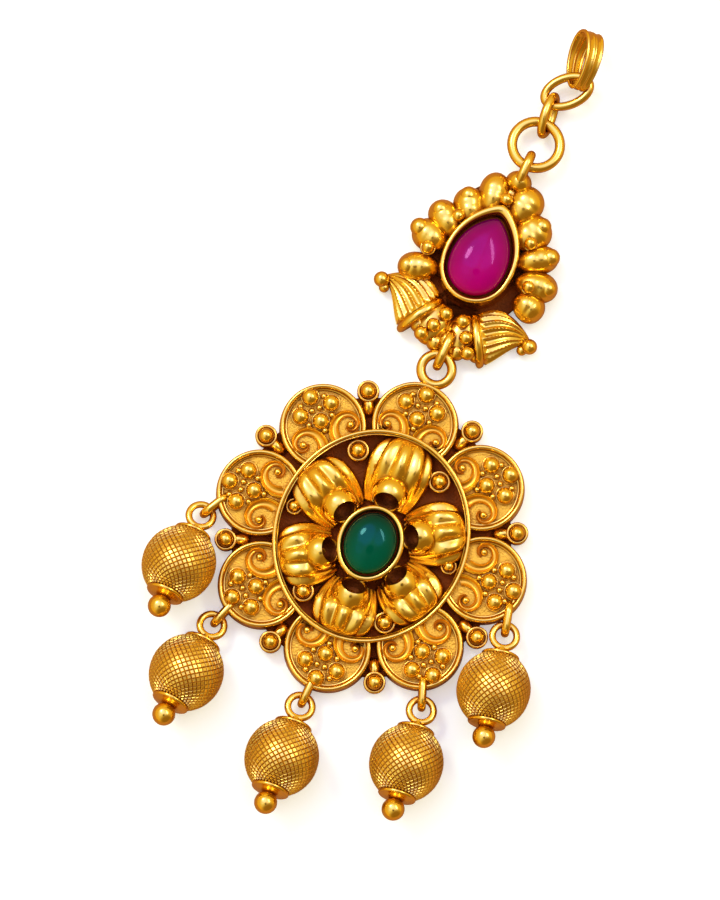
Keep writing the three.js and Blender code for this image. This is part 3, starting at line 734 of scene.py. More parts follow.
# %% Oval ring
ring_profile = (
    [(RING_WIDE - 0.02, 0.5), (RING_WIDE, 2.5)]
    + arc_profile(RING_WIDE - 0.21, 2.66, 0.21, 0, 180, 8)
    + [(RING_WIDE - 0.425, 2.55), (RING_WIDE - 0.45, 2.62)]
    + [(RING_WIDE - 0.49, 2.7), (RING_WIDE - 0.54, 2.72), (RING_WIDE - 0.59, 2.66), (RING_WIDE - 0.6, 2.5)]
    + [(RING_WIDE - RING_WIRE, 0.5), (RING_WIDE - 0.02, 0.5)]
)
oval_ring = mould(turned("oval_ring", ring_profile, 160, closed=True), oval)
finish_faces(oval_ring, [polished])
done(smooth(outwards(oval_ring)), "gold")

# %% [markdown]
# ## Collared grains
# A grain in a collar stands between each pair of scallops, and six more stand inside the ring between
# the petals, two of them smaller. A short web ties each to what is behind it.

# %% Collared grains
COLLAR, SMALL_COLLAR, COLLAR_TOP, COLLARED_GRAIN = 1.15, 0.85, 2.0, 0.8
OUTER_ORBIT = 15.04
OUTER_WEB = {"long": 1.3, "wide": 0.72}
INNER_WEB = {"long": 0.5, "wide": 0.36}
WEB_HIGH = 0.9
PETALS = 6


def collared_grain(collar):
    """A wire collar and the grain that it holds, turned in one."""
    grain = min(COLLARED_GRAIN, 0.68 * collar)
    wire = 0.5 * (collar - grain) - 0.02
    profile = (
        [(collar, 0.0), (collar, COLLAR_TOP - 0.35)]
        + arc_profile(collar - wire, COLLAR_TOP - 0.2, wire, 0, 180, 6)
        + [(grain + 0.02, COLLAR_TOP - 0.3)]
        + arc_profile(0, COLLAR_TOP + 0.1, grain, -20, 90, 9)
    )
    return turned("collared", profile, 36)


def stand(bearing, reach, collar, web_reach, web):
    """A collared grain at a bearing and a reach, and its web at a reach of its own."""
    grain = moved(collared_grain(collar), turn_z(bearing) @ shift(reach, 0))
    tie = mould(ball("web", 1.0, sides=16, rings=10), lambda p: (
        p.x * web["long"], p.y * web["wide"], WEB_HIGH + p.z * WEB_HIGH))
    return [grain, moved(tie, turn_z(bearing) @ shift(web_reach, 0))]


stands = []
for k in range(SCALLOPS):
    stands += stand(360 / SCALLOPS * (k + 0.5), OUTER_ORBIT, COLLAR, OUTER_ORBIT - 1.35, OUTER_WEB)
for k in range(PETALS):
    bearing = 360 / PETALS * k
    collar = SMALL_COLLAR if bearing % 180 == 0 else COLLAR
    reach = ellipse(bearing, RING_WIDE - RING_WIRE, RING_LONG - RING_WIRE) - collar - 0.1
    stands += stand(bearing, reach, collar, reach + collar - 0.1, INNER_WEB)
collared = finish_faces(joined("collared_grains", stands), [polished])
done(smooth(collared, 55), "gold")

# %% [markdown]
# ## Petals
# Six hollow petals radiate from the stone. Each is plump, with three rounded ridges along its back
# and narrow valleys between them that fade at both ends, while its flanks stay plain. A UV sphere
# makes the shell: its rings become the sections along the petal, and each corner takes its place from
# the curves of the petal's width, its height and its ridges. Rows, widths and ridges are shares, so
# the same shell makes the horns of the plaque later.

# %% Petal shell
FLOWER = Vector((0.2, -0.85, 0))
AT_FLOWER = Matrix.Translation(FLOWER)
PETAL_HALF, PETAL_HIGH, PETAL_BASE = 3.5, 3.5, 1.0
EMERALD_WIDE, EMERALD_LONG = 2.65, 3.2
BEZEL_OUT = EMERALD_WIDE + 0.75
VALLEY_SOFT = 0.03


def petal_width(t):
    """Half width along the petal, as a share of its widest."""
    if t < 0.5:
        return 1 - 0.32 * (1 - 2 * t) ** 1.7
    return max(1 - (2 * t - 1) ** 2.7, 0) ** 0.42


def petal_height(t):
    """The petal rises from its inner end, so that the knuckle stands over it."""
    return 1.0 - 0.56 * math.cos(0.5 * math.pi * min(1.0, t / 0.62)) ** 2


def petal_fade(t):
    """The ridges grow from the inner end and run out before the outer one."""
    return min(1.0, 0.3 + 2.0 * t * t) * (1 - max(0.0, (t - 0.72) / 0.28) ** 1.5)


def gadroons(angle, t, count=5):
    """1 on the three ridges and on the flanks, and 0 in the narrow valleys between them."""
    past_last = abs(angle - math.pi / 2) - 1.5 * math.pi / count
    if past_last > 0:
        return min(1.0, past_last / 0.2)
    wave = math.cos(count * (angle - math.pi / 2))
    return math.sqrt(wave ** 2 + VALLEY_SOFT) / math.sqrt(1 + VALLEY_SOFT)


def shell(name, length, half, high, width, ribs, depth, sunk, rows, sides, fade, rise=lambda t: 1.0):
    """A plump ribbed shell along +X, flat below, from a UV sphere whose poles are its two ends."""
    def rule(p):
        row = round(math.acos(max(-1, min(1, p.z))) / math.pi * rows)
        if row in (0, rows):
            return (length * (row > 0), 0, 0.35 * high * width(0.0) * rise(0.0) * (row == 0))
        t = 1 - (1 - (row - 1) / (rows - 1)) ** 1.35
        around = math.atan2(p.y, p.x)
        size = width(t)
        if math.sin(around) < -1e-6:
            return (t * length, half * size * math.cos(around), sunk * math.sin(around))
        rib = size * (1 - depth * fade(t) * (1 - ribs(around, t)))
        return (t * length, half * rib * math.cos(around), high * rise(t) * rib * math.sin(around))

    return mould(ball(name, 1.0, sides=sides, rings=rows), rule)


def from_flower(bearing, wide, long):
    """Distance from the flower's middle to an oval round the medallion's middle."""
    step = away(bearing, 1.0)
    a = (step.x / wide) ** 2 + (step.y / long) ** 2
    b = FLOWER.x * step.x / wide ** 2 + FLOWER.y * step.y / long ** 2
    c = (FLOWER.x / wide) ** 2 + (FLOWER.y / long) ** 2 - 1
    return (-b + math.sqrt(b * b - a * c)) / a


def bezel_reach(bearing):
    return ellipse(bearing, BEZEL_OUT, BEZEL_OUT + EMERALD_LONG - EMERALD_WIDE)


petals = []
petal_bearings = [90 + 360 / PETALS * k for k in range(PETALS)]
for bearing in petal_bearings:
    start = bezel_reach(bearing) + 0.3
    length = from_flower(bearing, RING_WIDE - RING_WIRE, RING_LONG - RING_WIRE) + 0.3 - start
    petal = shell("petal", length, PETAL_HALF, PETAL_HIGH, petal_width, gadroons, depth=0.19, sunk=0.3,
                  rows=40, sides=120, fade=petal_fade, rise=petal_height)
    petals.append(moved(petal, AT_FLOWER @ turn_z(bearing) @ shift(start, 0, PETAL_BASE)))
petals = finish_faces(outwards(joined("petals", petals)), [satin])
done(smooth(petals, 60), "gold")

# %% [markdown]
# At the inner end of each petal stands a hollow ball that opens towards the stone. A sphere is tilted
# that way, and its cap is pushed deep into it over a rounded lip, which is quicker than a cut and
# leaves the mouth smooth. The bore is painted black inside, as the shade deep in it.

# %% Knuckles of the petals
KNUCKLE, KNUCKLE_HIGH, BORE, BORE_DEEP, BORE_TILT = 1.9, 2.85, 1.3, 1.4, 50
bore_angle = math.asin(BORE / KNUCKLE)


def hollow(p):
    """Pushes the cap inside the opening deep into the ball, over a rounded lip."""
    angle = math.acos(max(-1, min(1, p.z / KNUCKLE)))
    if angle >= bore_angle:
        return p
    depth = BORE_DEEP * (1 - (angle / bore_angle) ** 3)
    return (p.x * 0.97, p.y * 0.97, KNUCKLE * math.cos(bore_angle) - depth)


def in_bore(face):
    middle = face.center / MM
    return int(middle.xy.length < 0.93 * BORE and middle.z > -1.4 and middle.length < 0.93 * KNUCKLE)


knuckles = []
for bearing in petal_bearings:
    one = mould(ball("knuckle", KNUCKLE, sides=64, rings=48), hollow)
    # The bore's inside gets the nearly black gold, painted shade.
    finish_faces(one, [polished, shade_black], in_bore)
    out = shift(bezel_reach(bearing) + 0.87 * KNUCKLE, 0, KNUCKLE_HIGH)
    knuckles.append(moved(one, AT_FLOWER @ turn_z(bearing) @ out @ turn_y(-BORE_TILT)))
done(smooth(joined("knuckles", knuckles), 50), "gold")

# %% [markdown]
# ## The emerald and its bezel
# The stone is an oval cabochon, a smooth dome with no facets. A wall of gold stands round it with a
# thin dark gap, and its top edge is polished bright. The seat under the stone is painted black, as
# shade. Both are turned round and then made oval.

# %% Emerald and bezel
SEAT_GAP = 0.25
EMERALD_SEAT, EMERALD_DOME, EMERALD_LIP = 3.6, 2.1, 4.6
BEZEL_IN = BEZEL_OUT - 0.5


def stone_oval(p):
    """Stretches what is inside the stone's edge, and beyond it keeps the widths as they are."""
    if math.hypot(p.x, p.y) < EMERALD_WIDE:
        return (p.x, p.y * EMERALD_LONG / EMERALD_WIDE, p.z)
    return oval(p, EMERALD_LONG - EMERALD_WIDE)


def in_seat(face):
    middle = face.center / MM
    return int(middle.z < 4.2 and abs(middle.x) < BEZEL_IN and abs(middle.y) < BEZEL_IN + 0.5)


bezel_profile = (
    [(BEZEL_OUT, 0.5), (BEZEL_OUT + 0.02, 4.1)]
    + arc_profile(BEZEL_OUT - 0.25, EMERALD_LIP - 0.22, 0.25, 0, 180, 8, 0.88)
    + [(BEZEL_IN, 3.75), (BEZEL_IN - 0.1, EMERALD_SEAT), (0, EMERALD_SEAT)]
)
emerald_bezel = mould(turned("emerald_bezel", bezel_profile, 96), stone_oval)
# The seat under the emerald gets the nearly black gold, painted shade.
finish_faces(emerald_bezel, [polished, shade_black], in_seat)
done(smooth(outwards(moved(emerald_bezel, AT_FLOWER))), "gold")

# %% [markdown]
# A polished stone lets light in on the side of the lamp, and its body glows on the other side, near
# the table. Here that glow is painted: the stone's material mixes a deep and a lit colour by where its
# surface faces, with a faint cloud, and paints a rim light on the slopes of its lit side. Its highlights
# take its own tint. Its shape is a turned dome.

# %% Stones
PAINTED_LIGHT_SIDE = (-0.1, -0.75, 0.35)


def cabochon(name, radius, seat, girdle, dome, sides=96, steps=22):
    base = seat + SEAT_GAP
    profile = [(radius - 0.08, base), (radius, base + 0.1), (radius, base + girdle)]
    for i in range(1, steps + 1):
        angle = math.pi / 2 * i / steps
        ring = radius * math.cos(angle) if i < steps else 0
        profile.append((ring, base + girdle + (dome - girdle) * math.sin(angle)))
    return turned(name, profile, sides)


def gem(name, deep, lit, rim_light, shine):
    """A polished stone: painted lit away from the lamp, deep elsewhere, with a painted rim light and its own
    tint.
    """
    material, tree, shader = new_material(name)
    where = node(tree, "TexCoord").outputs["Object"]
    cloud = node(tree, "TexNoise", Vector=where, Scale=420.0, Detail=2.0).outputs["Fac"]
    sloping = node(tree, "LayerWeight", Blend=0.35).outputs["Facing"]
    # Painted light and shade: the body is painted lit on one side and deep on the other, and the slopes of
    # its lit side get a painted rim light.
    toward_painted_light = dot(tree, node(tree, "NewGeometry").outputs["Normal"], sky_direction(*PAINTED_LIGHT_SIDE))
    glow = maths(tree, "MULTIPLY_ADD", toward_painted_light, 0.6, 0.1)
    share = maths(tree, "ADD", glow, maths(tree, "MULTIPLY", cloud, 0.3), clamp=True)
    body = mixed(tree, share, deep, lit)
    painted_rim = mixed(tree, maths(tree, "POWER", share, 1.5, clamp=True), deep, rim_light)
    edge = maths(tree, "POWER", sloping, 1.8, clamp=True)
    fed(tree, shader, Base_Color=mixed(tree, edge, body, painted_rim), Roughness=0.09, IOR=1.6,
        Specular_IOR_Level=0.28, Specular_Tint=shine)
    return material


emerald_green = gem("emerald_green", deep=(0.0, 0.01, 0.004, 1), lit=(0.0, 0.14, 0.034, 1),
                    rim_light=(0.02, 0.26, 0.012, 1), shine=(0.2, 0.62, 0.42, 1))
ruby_magenta = gem("ruby_magenta", deep=(0.11, 0.0, 0.03, 1), lit=(0.66, 0.0, 0.12, 1),
                   rim_light=(0.7, 0.0, 0.05, 1), shine=(0.72, 0.24, 0.44, 1))
emerald = mould(cabochon("emerald", EMERALD_WIDE, EMERALD_SEAT, 0.45, EMERALD_DOME), stone_oval)
finish_faces(smooth(outwards(moved(emerald, AT_FLOWER)), 60), [emerald_green])
done(emerald, "emerald", "emerald_cabochon")

# %% [markdown]
# ## Wire loops
# Each drop hangs from a loop of wire that is soldered under the edge of a scallop. A torus is stood on
# edge and its near half pulled back, which gives the two straight legs. The medallion's top ring is a
# plain torus.

# %% Loops and the top ring
LOOP_WIRE, LOOP_REACH, DROP_RING, DROP_RING_WIRE, LINK_PLAY = 0.4, 0.95, 1.26, 0.33, 0.22
LOOP_BEND = LOOP_WIRE + DROP_RING_WIRE + LINK_PLAY
LOOP_HOLE = LOOP_BEND + LOOP_WIRE
TOP_RING, TOP_WIRE, JOIN_HIGH = 1.6, 0.5, 1.75
TOP_RING_Y = SCALLOP_ORBIT + SCALLOP_RADIUS + 0.16 + TOP_RING
DROPS = [
    {"scallop": 180, "foot": 214, "loop": 240, "hang": 268, "lift": 0.0},
    {"scallop": 225, "foot": 237, "loop": 249, "hang": 264, "lift": 0.0},
    {"scallop": 270, "foot": 266, "loop": 266, "hang": 272, "lift": 0.1},
    {"scallop": 315, "foot": 295, "loop": 288, "hang": 275, "lift": 0.3},
    {"scallop": 0, "foot": 326, "loop": 282, "hang": 279, "lift": 0.5},
]


def hairpin(name, bend, wire, legs):
    """A wire bent round the origin, towards +X, standing on edge."""
    ring = wire_ring(name, bend, wire, 56, 16)
    return mould(ring, lambda p: (p.x - legs * (p.x < -1e-4), -p.z, p.y))


def hook_place(row):
    foot = away(row["scallop"], SCALLOP_ORBIT) + away(row["foot"], SCALLOP_RADIUS)
    return foot + away(row["loop"], LOOP_REACH)


loops = []
for row in DROPS:
    at = hook_place(row)
    loop = hairpin("loop", LOOP_BEND, LOOP_WIRE + 0.03, LOOP_REACH + 0.2)
    loops.append(moved(loop, shift(at.x, at.y, LOOP_HOLE + row["lift"]) @ turn_z(row["loop"])))
loops.append(moved(wire_ring("top", TOP_RING, TOP_WIRE, 64, 18), shift(0, TOP_RING_Y, JOIN_HIGH)))
loops = finish_faces(joined("medallion_loops", loops), [polished])
done(smooth(outwards(loops), 60), "gold")

# %% [markdown]
# ## The plaque
# The upper plaque has a frame of its own: its origin is the round end of the pear-shaped stone and +Y
# runs to the stone's tip. All its pieces are made there and then turned and moved together. The pear
# comes from a round shape whose corners are drawn out towards the tip, the more the nearer they are.

# %% Pear shapes
PLAQUE = shift(0, TOP_RING_Y + TOP_RING) @ turn_z(-3.5) @ shift(-0.6, 9.6)
RUBY, PEAR_REACH, PEAR_FLANK, PEAR_BULGE, PEAR_TIP = 2.95, 1.94, 105, 2.2, 0.06
RUBY_SEAT, RUBY_DOME, RUBY_LIP = 2.5, 2.5, 3.85
RUBY_INNER = RUBY + SEAT_GAP
RUBY_OUTER = RUBY_INNER + 0.55
APRON_AT = -6.0


def pear(p):
    radius = math.hypot(p.x, p.y)
    if radius < 1e-6:
        return p
    off_tip = abs((math.atan2(p.y, p.x) - math.pi / 2 + math.pi) % (2 * math.pi) - math.pi)
    left = max(1 - math.hypot(off_tip, PEAR_TIP) / math.radians(PEAR_FLANK), 0)
    grow = 1 + (PEAR_REACH - 1) * left ** PEAR_BULGE
    return (p.x * grow, p.y * grow, p.z)


def flat_plate(name, radius, sides, *inner):
    """A turned plate with broken edges, and rings on its face where the pear needs them."""
    edge = [(radius - 0.1, 0.0), (radius, 0.1), (radius, PLATE - 0.12), (radius - 0.1, PLATE)]
    return turned(name, edge + [(ring, PLATE) for ring in inner] + [(0, PLATE)], sides)


plaque_plate = mould(flat_plate("plate", 5.7, 96, 4.0), pear)
apron = moved(flat_plate("apron", 3.4, 48), shift(0, APRON_AT))
# The plaque plate's front gets the nearly black gold, painted shade.
plaque_plate = finish_faces(joined("plaque_plate", [plaque_plate, apron]), [shade_black, satin], on_back)
done(smooth(moved(plaque_plate, PLAQUE)), "gold", "upper_plaque")

# %% Ruby and bezel
def on_seat(face):
    return int(abs(face.center.z - RUBY_SEAT * MM) < 0.1 * MM)


ruby_profile = (
    [(RUBY_OUTER + 0.35, 0.5), (RUBY_OUTER + 0.12, 2.6), (RUBY_OUTER, 3.55)]
    + arc_profile(RUBY_OUTER - 0.24, RUBY_LIP - 0.22, 0.24, 0, 180, 8, 0.9)
    + [(RUBY_OUTER - 0.5, 3.3), (RUBY_OUTER - 0.53, 3.36), (RUBY_INNER, 3.3)]
    + [(RUBY_INNER, 2.7), (RUBY_INNER - 0.1, RUBY_SEAT), (0, RUBY_SEAT)]
)
ruby_bezel = mould(turned("ruby_bezel", ruby_profile, 128), pear)
# The seat under the ruby gets the nearly black gold, painted shade.
finish_faces(ruby_bezel, [polished, shade_black], on_seat)
done(smooth(moved(outwards(ruby_bezel), PLAQUE)), "gold")

ruby = mould(cabochon("ruby", RUBY, RUBY_SEAT, 0.5, RUBY_DOME, 128), pear)
finish_faces(moved(smooth(outwards(ruby), 60), PLAQUE), [ruby_magenta])
done(ruby, "ruby", "ruby_cabochon")

# %% [markdown]
# Round the ruby stand plump lobes like mango buds. Each is a squashed sphere, fuller at its outer end,
# with a soft dimple across its back, and most have a knob at that end.

# %% Lobes of the plaque
LOBES = [
    {"bearing": 202, "reach": 6.2, "long": 1.9, "wide": 1.25, "knob": 7.2},
    {"bearing": 168, "reach": 6.1, "long": 1.75, "wide": 1.35, "knob": 7.4},
    {"bearing": 145, "reach": 6.3, "long": 1.95, "wide": 1.3, "knob": 7.3},
    {"bearing": 120, "reach": 6.8, "long": 1.85, "wide": 1.35, "knob": 7.8},
    {"bearing": 101, "reach": 8.3, "long": 2.1, "wide": 1.3, "knob": 0},
    {"bearing": 77, "reach": 8.6, "long": 1.95, "wide": 1.5, "knob": 0},
    {"bearing": 57, "reach": 7.1, "long": 1.95, "wide": 1.55, "knob": 8.3},
    {"bearing": 33, "reach": 6.7, "long": 2.0, "wide": 1.2, "knob": 8.0},
    {"bearing": 9, "reach": 6.8, "long": 2.0, "wide": 1.3, "knob": 7.9},
    {"bearing": -11, "reach": 7.0, "long": 1.55, "wide": 1.3, "knob": 0},
]
LOBE_HIGH, KNOB = 1.65, 0.85
LOBE_LONGER, LOBE_WIDER, KNOB_LARGER = 1.16, 1.24, 1.15


def plump(p, long, wide, high):
    """A bud, fuller at its outer end, with a soft dimple across its back."""
    dimple = 1 - 0.05 * math.exp(-((p.x - 0.1) / 0.16) ** 2) * max(p.z, 0.0)
    crown = 1.1 if p.z > 0 else 0.98
    return (p.x * long, p.y * wide * (1 + 0.14 * p.x) * dimple, high + p.z * crown * high * dimple)


buds = []
for row in LOBES:
    bud = mould(ball("bud", 1.0, sides=56, rings=36), lambda p: plump(
        p, LOBE_LONGER * row["long"], LOBE_WIDER * row["wide"], LOBE_HIGH))
    at = away(row["bearing"], row["reach"] - 0.3)
    buds.append(moved(bud, shift(at.x, at.y) @ turn_z(row["bearing"])))
    if row["knob"]:
        end = away(row["bearing"], row["knob"] - 0.15)
        buds.append(ball("knob", KNOB_LARGER * KNOB, end.x, end.y, 1.45 * LOBE_HIGH, 32, 20))
buds = finish_faces(joined("plaque_buds", buds), [satin])
done(smooth(moved(buds, PLAQUE), 60), "gold")

# %% [markdown]
# Grains fill the gaps. Five in wire seats stand between the lobes, and six lie in a cluster below the
# stone. What holds them up is hardly seen: two heaps of gold, a few balls at their roots, and a boss
# under the upper loop.

# %% Grains of the plaque
LOBE_GRAINS = [(-5.4, -0.1), (-3.9, 4.2), (-0.1, 7.8), (4.1, 4.7), (5.8, 0.5)]
CLUSTER_GRAINS = [(-0.8, -5.6), (1.1, -5.6), (-1.5, -7.2), (2.1, -7.0), (-2.3, -8.5), (2.9, -8.4)]
GRAIN_HIGH, SEAT_HIGH, CLUSTER_HIGH = 3.0, 2.62, 2.6
SMALL_GRAIN, CLUSTER_LARGER = 0.7, 1.08
FILLERS = [
    {"at": (0.2, 8.7, 1.3), "radius": 1.1},
    {"at": (0.45, -7.9, 1.3), "radius": 1.15},
    {"at": (-0.6, -8.6, 1.3), "radius": 1.0},
    {"at": (1.8, -8.6, 1.4), "radius": 0.95},
    {"at": (3.8, -8.0, 1.2), "radius": 0.9},
    {"at": (-3.0, -7.6, 1.2), "radius": 0.9},
]
MOUNDS = [
    {"at": (1.65, -6.9), "size": (1.85, 2.4, 1.2), "sides": 40, "rings": 24},
    {"at": (-1.65, -6.9), "size": (1.85, 2.4, 1.2), "sides": 40, "rings": 24},
    {"at": (0.3, 10.1), "size": (1.4, 1.25, 1.75), "sides": 32, "rings": 20},
]

grains = [ball("small", SMALL_GRAIN, x, y, GRAIN_HIGH, 28, 16) for x, y in LOBE_GRAINS]
grains += [ball("small", CLUSTER_LARGER * SMALL_GRAIN, x, y, CLUSTER_HIGH, 28, 16) for x, y in CLUSTER_GRAINS]
for x, y in LOBE_GRAINS:
    grains.append(moved(wire_ring("seat", SMALL_GRAIN, 0.13, 28, 8), shift(x, y, SEAT_HIGH)))
for row in FILLERS:
    grains.append(ball("filler", row["radius"], *row["at"], 32, 20))
for row in MOUNDS:
    (x, y), (wide, long, high) = row["at"], row["size"]
    mound = ball("mound", 1.0, sides=row["sides"], rings=row["rings"])
    grains.append(mould(mound, lambda p: (x + wide * p.x, y + long * p.y, high * (1 + p.z))))
grains = finish_faces(joined("plaque_grains", grains), [polished])
done(smooth(moved(grains, PLAQUE), 60), "gold")

# %% [markdown]
# Two fluted horns close the lower corners. They use the petal's shell again, with sharp ridges in
# place of gadroons, a plain band at the mouth, and two beads at the tip. Each horn is bowed, and its
# flutes turn with the bow, so that they run along it as on the real one.

# %% Horns
HORN_LONG, HORN_HALF, HORN_HIGH, HORN_BEAD, HORN_SMALL = 5.95, 2.65, 2.15, 0.82, 0.55
HORN_FOOT, HORN_TURN, HORN_BOW, HORN_SHEAR = (2.85, -6.9), 27, 0.95, 0.09
FLUTES, FLUTE_TURN, MOUTH = 10, 0.42, 0.15


def horn_width(t):
    """A rounded band at the mouth, and then a taper to the tip."""
    if t < MOUTH:
        return 0.94 + 0.15 * math.sqrt(max(1 - (2 * t / MOUTH - 1) ** 2, 0))
    return 1.03 * (1 - ((t - MOUTH) / (1 - MOUTH)) ** 1.8) ** 0.75


def horn_fade(t):
    """The flutes start behind the band and run out towards the tip."""
    return 0.0 if t < 0.16 else min(1.0, (t - 0.16) / 0.06) * (1 - 0.4 * t)


def flutes(angle, t):
    """1 on sharp ridges and 0 in the round hollows between them, turning with the bow."""
    return 1 - abs(math.sin(FLUTES * (angle - FLUTE_TURN * t - math.pi / 2)))


def bowed(p):
    bow = HORN_BOW * math.sin(math.pi * max(p.x / HORN_LONG, 0.0) ** 1.4)
    return (p.x - HORN_SHEAR * p.y, p.y + bow, p.z + PLATE)


horns = []
for side in (1, -1):
    horn = mould(shell("horn", HORN_LONG, HORN_HALF, HORN_HIGH, horn_width, flutes, depth=0.13, sunk=0.7,
                       rows=64, sides=240, fade=horn_fade), bowed)
    tip = HORN_LONG + 0.5 * HORN_BEAD
    bead = ball("tip", HORN_BEAD, tip - 0.5, -0.8, 1.6 * HORN_BEAD, 32, 20)
    small_bead = ball("tip_small", HORN_SMALL, tip - 1.3, -1.1, 1.6 * HORN_SMALL, 24, 14)
    place = Matrix.Diagonal((side, 1, 1, 1)) @ shift(*HORN_FOOT) @ turn_z(HORN_TURN)
    horns.append(moved(joined("horn_set", [horn, bead, small_bead]), place))
horns = finish_faces(joined("plaque_horns", horns), [polished])
done(smooth(moved(horns, PLAQUE), 50), "gold")

# %% Loops of the plaque
JUMP, JUMP_WIRE = 2.5, 0.53
HANG_WIRE = 0.48
HANG_BEND = HANG_WIRE + JUMP_WIRE + LINK_PLAY
UPPER_HOLE = Vector((0.3, 12.0, 2.2))
plaque_loops = []
for at, bearing, legs in (((0.6, -9.6, JOIN_HIGH), -90, 1.2), (UPPER_HOLE, 90, 0.9)):
    loop = hairpin("loop", HANG_BEND, HANG_WIRE, legs)
    plaque_loops.append(moved(loop, shift(*at) @ turn_z(bearing)))
plaque_loops = finish_faces(joined("plaque_loops", plaque_loops), [polished])
done(smooth(moved(outwards(plaque_loops), PLAQUE), 60), "gold")

# %% [markdown]
# ## The chain
# A jump ring, two links and the hook's bail follow one another as in the photo. The jump ring is a
# torus, the links are tori drawn out to ovals, and the bail is a ribbed band that is turned, drawn out
# the same way and made narrower towards the chain. Every one is made flat round its own middle and
# then laid in place, each from the point where it hangs on the one before.

# %% Links and bail
LINK_WIRE, LINK_GAP = 0.46, 0.16
LOWER_LONG, LOWER_SHORT, LOWER_LEAN = 2.08, LINK_WIRE + JUMP_WIRE + LINK_PLAY, 20
UPPER_LONG, UPPER_SHORT, UPPER_RISE = 2.45, LINK_WIRE + 0.55 + LINK_PLAY, 7
BAIL_LONG, BAIL_SHORT, BAIL_BAND, BAIL_NEAR = 2.95, 1.72, 2.2, 1.5
BAIL_SLACK, BAIL_THICK, BAIL_TAPER, BAIL_LEAN = 0.8, 0.3, 0.08, 30
BAIL_STEPS = 24


def drawn_out(piece, extra):
    """Draws a round piece out along X, its ends by the whole length and its sides not at all."""
    return mould(piece, lambda p: (p.x + extra * math.cos(math.atan2(p.y, p.x)), p.y, p.z))


def link(name, long, short):
    return drawn_out(wire_ring(name, short, LINK_WIRE, 64, 18), long - short)


def ribs(share):
    """The height of the bail's four ribs, by the share of its half width: two fine, two at the edges."""
    edge_rib = math.exp(-(abs(share) - 0.86) ** 2 / 0.012)
    return edge_rib + 0.8 * math.exp(-(abs(share) - 0.13) ** 2 / 0.006)


def taper(p):
    far = (1 + p.x / BAIL_LONG) / 2
    return (p.x, p.y * (1 + BAIL_TAPER * (2 * far - 1)), p.z * (BAIL_NEAR / BAIL_BAND * (1 - far) + far))


def ribbed_bail(name):
    half, out = BAIL_BAND / 2, BAIL_THICK / 2
    inside, middle = BAIL_SHORT - out, BAIL_SHORT + 0.5 * out
    profile = [(inside, -0.94 * half), (BAIL_SHORT - 0.7 * out, -half), (middle, -half)]
    for i in range(BAIL_STEPS + 1):
        share = -1 + 2 * i / BAIL_STEPS
        profile.append((BAIL_SHORT + out + 0.3 * BAIL_THICK * ribs(share), 0.96 * half * share))
    profile += [(middle, half), (BAIL_SHORT - 0.7 * out, half), (inside, 0.94 * half)]
    band = turned(name, profile, 72, closed=True)
    return mould(drawn_out(band, BAIL_LONG - BAIL_SHORT), taper)


def laid(piece, x, y, z, heading, roll=0.0, pitch=0.0):
    return moved(piece, shift(x, y, z) @ turn_z(heading) @ turn_y(pitch) @ turn_x(roll))


# %% Chain
ROUTE = {"jump": 87, "lower": 92.4, "upper": 40.4, "bail": 98}
UPPER_HELD, BAIL_HELD = 228, 60


def step_along(name, distance):
    return away(ROUTE[name], distance).to_3d()


def upper_point(at):
    """A point of the lying link's wire: where it is on the table, and how far along the link."""
    angle = math.radians(at)
    along = math.copysign(UPPER_LONG - UPPER_SHORT, math.cos(angle)) + UPPER_SHORT * math.cos(angle)
    flat = Vector((along * math.cos(math.radians(UPPER_RISE)), UPPER_SHORT * math.sin(angle), 0))
    return turn_z(ROUTE["upper"]) @ flat, along


start = PLAQUE @ UPPER_HOLE
stand_high = LOWER_SHORT * math.cos(math.radians(LOWER_LEAN)) + LINK_WIRE
fall = math.asin((start.z - stand_high) / (2 * JUMP))
half_ring = step_along("jump", JUMP * math.cos(fall))
jump_at = start + half_ring
lower_at = start + 2 * half_ring + step_along("lower", LOWER_LONG - LINK_WIRE - JUMP_WIRE - LINK_GAP)
lower_far = lower_at + step_along("lower", LOWER_LONG - 2 * LINK_WIRE - LINK_GAP)
held, along = upper_point(UPPER_HELD)
upper_at = lower_far - held
upper_high = stand_high - along * math.sin(math.radians(UPPER_RISE))
bail_at = upper_at + upper_point(BAIL_HELD)[0] + step_along(
    "bail", BAIL_LONG - LINK_WIRE - BAIL_THICK / 2 - BAIL_SLACK)
lean = math.radians(BAIL_LEAN)
bail_half = (BAIL_SHORT + BAIL_THICK) * (1 + BAIL_TAPER)
bail_high = bail_half * math.cos(lean) + BAIL_BAND / 2 * math.sin(lean) + LINK_GAP

jump = laid(wire_ring("jump", JUMP, JUMP_WIRE, 72, 20), jump_at.x, jump_at.y, (start.z + stand_high) / 2,
            ROUTE["jump"], pitch=math.degrees(fall))
lower = laid(link("lower", LOWER_LONG, LOWER_SHORT), lower_at.x, lower_at.y, stand_high,
             ROUTE["lower"], roll=90 - LOWER_LEAN)
upper = laid(link("upper", UPPER_LONG, UPPER_SHORT + 0.2), upper_at.x, upper_at.y, upper_high,
             ROUTE["upper"], pitch=-UPPER_RISE)
bail = laid(outwards(ribbed_bail("bail")), bail_at.x, bail_at.y, bail_high,
            ROUTE["bail"], roll=90 + BAIL_LEAN)
chain = {"jump_ring": jump, "chain_link_lower": lower, "chain_link_upper": upper, "hook_bail": bail}
for node_name, piece in chain.items():
    finish_faces(piece, [polished])
    done(smooth(piece, 60), "gold", node_name)

# %% [markdown]
# ## The knurled drops
# A drop's ball is covered with a net of small diamonds. A UV sphere has its faces poked and the old
# edges dissolved, which leaves diamonds; each is inset and raised, so dark grooves run between them.
# Both ends of the ball carry a flared cap. A neck leads up to the ring, and a bead ends the drop.

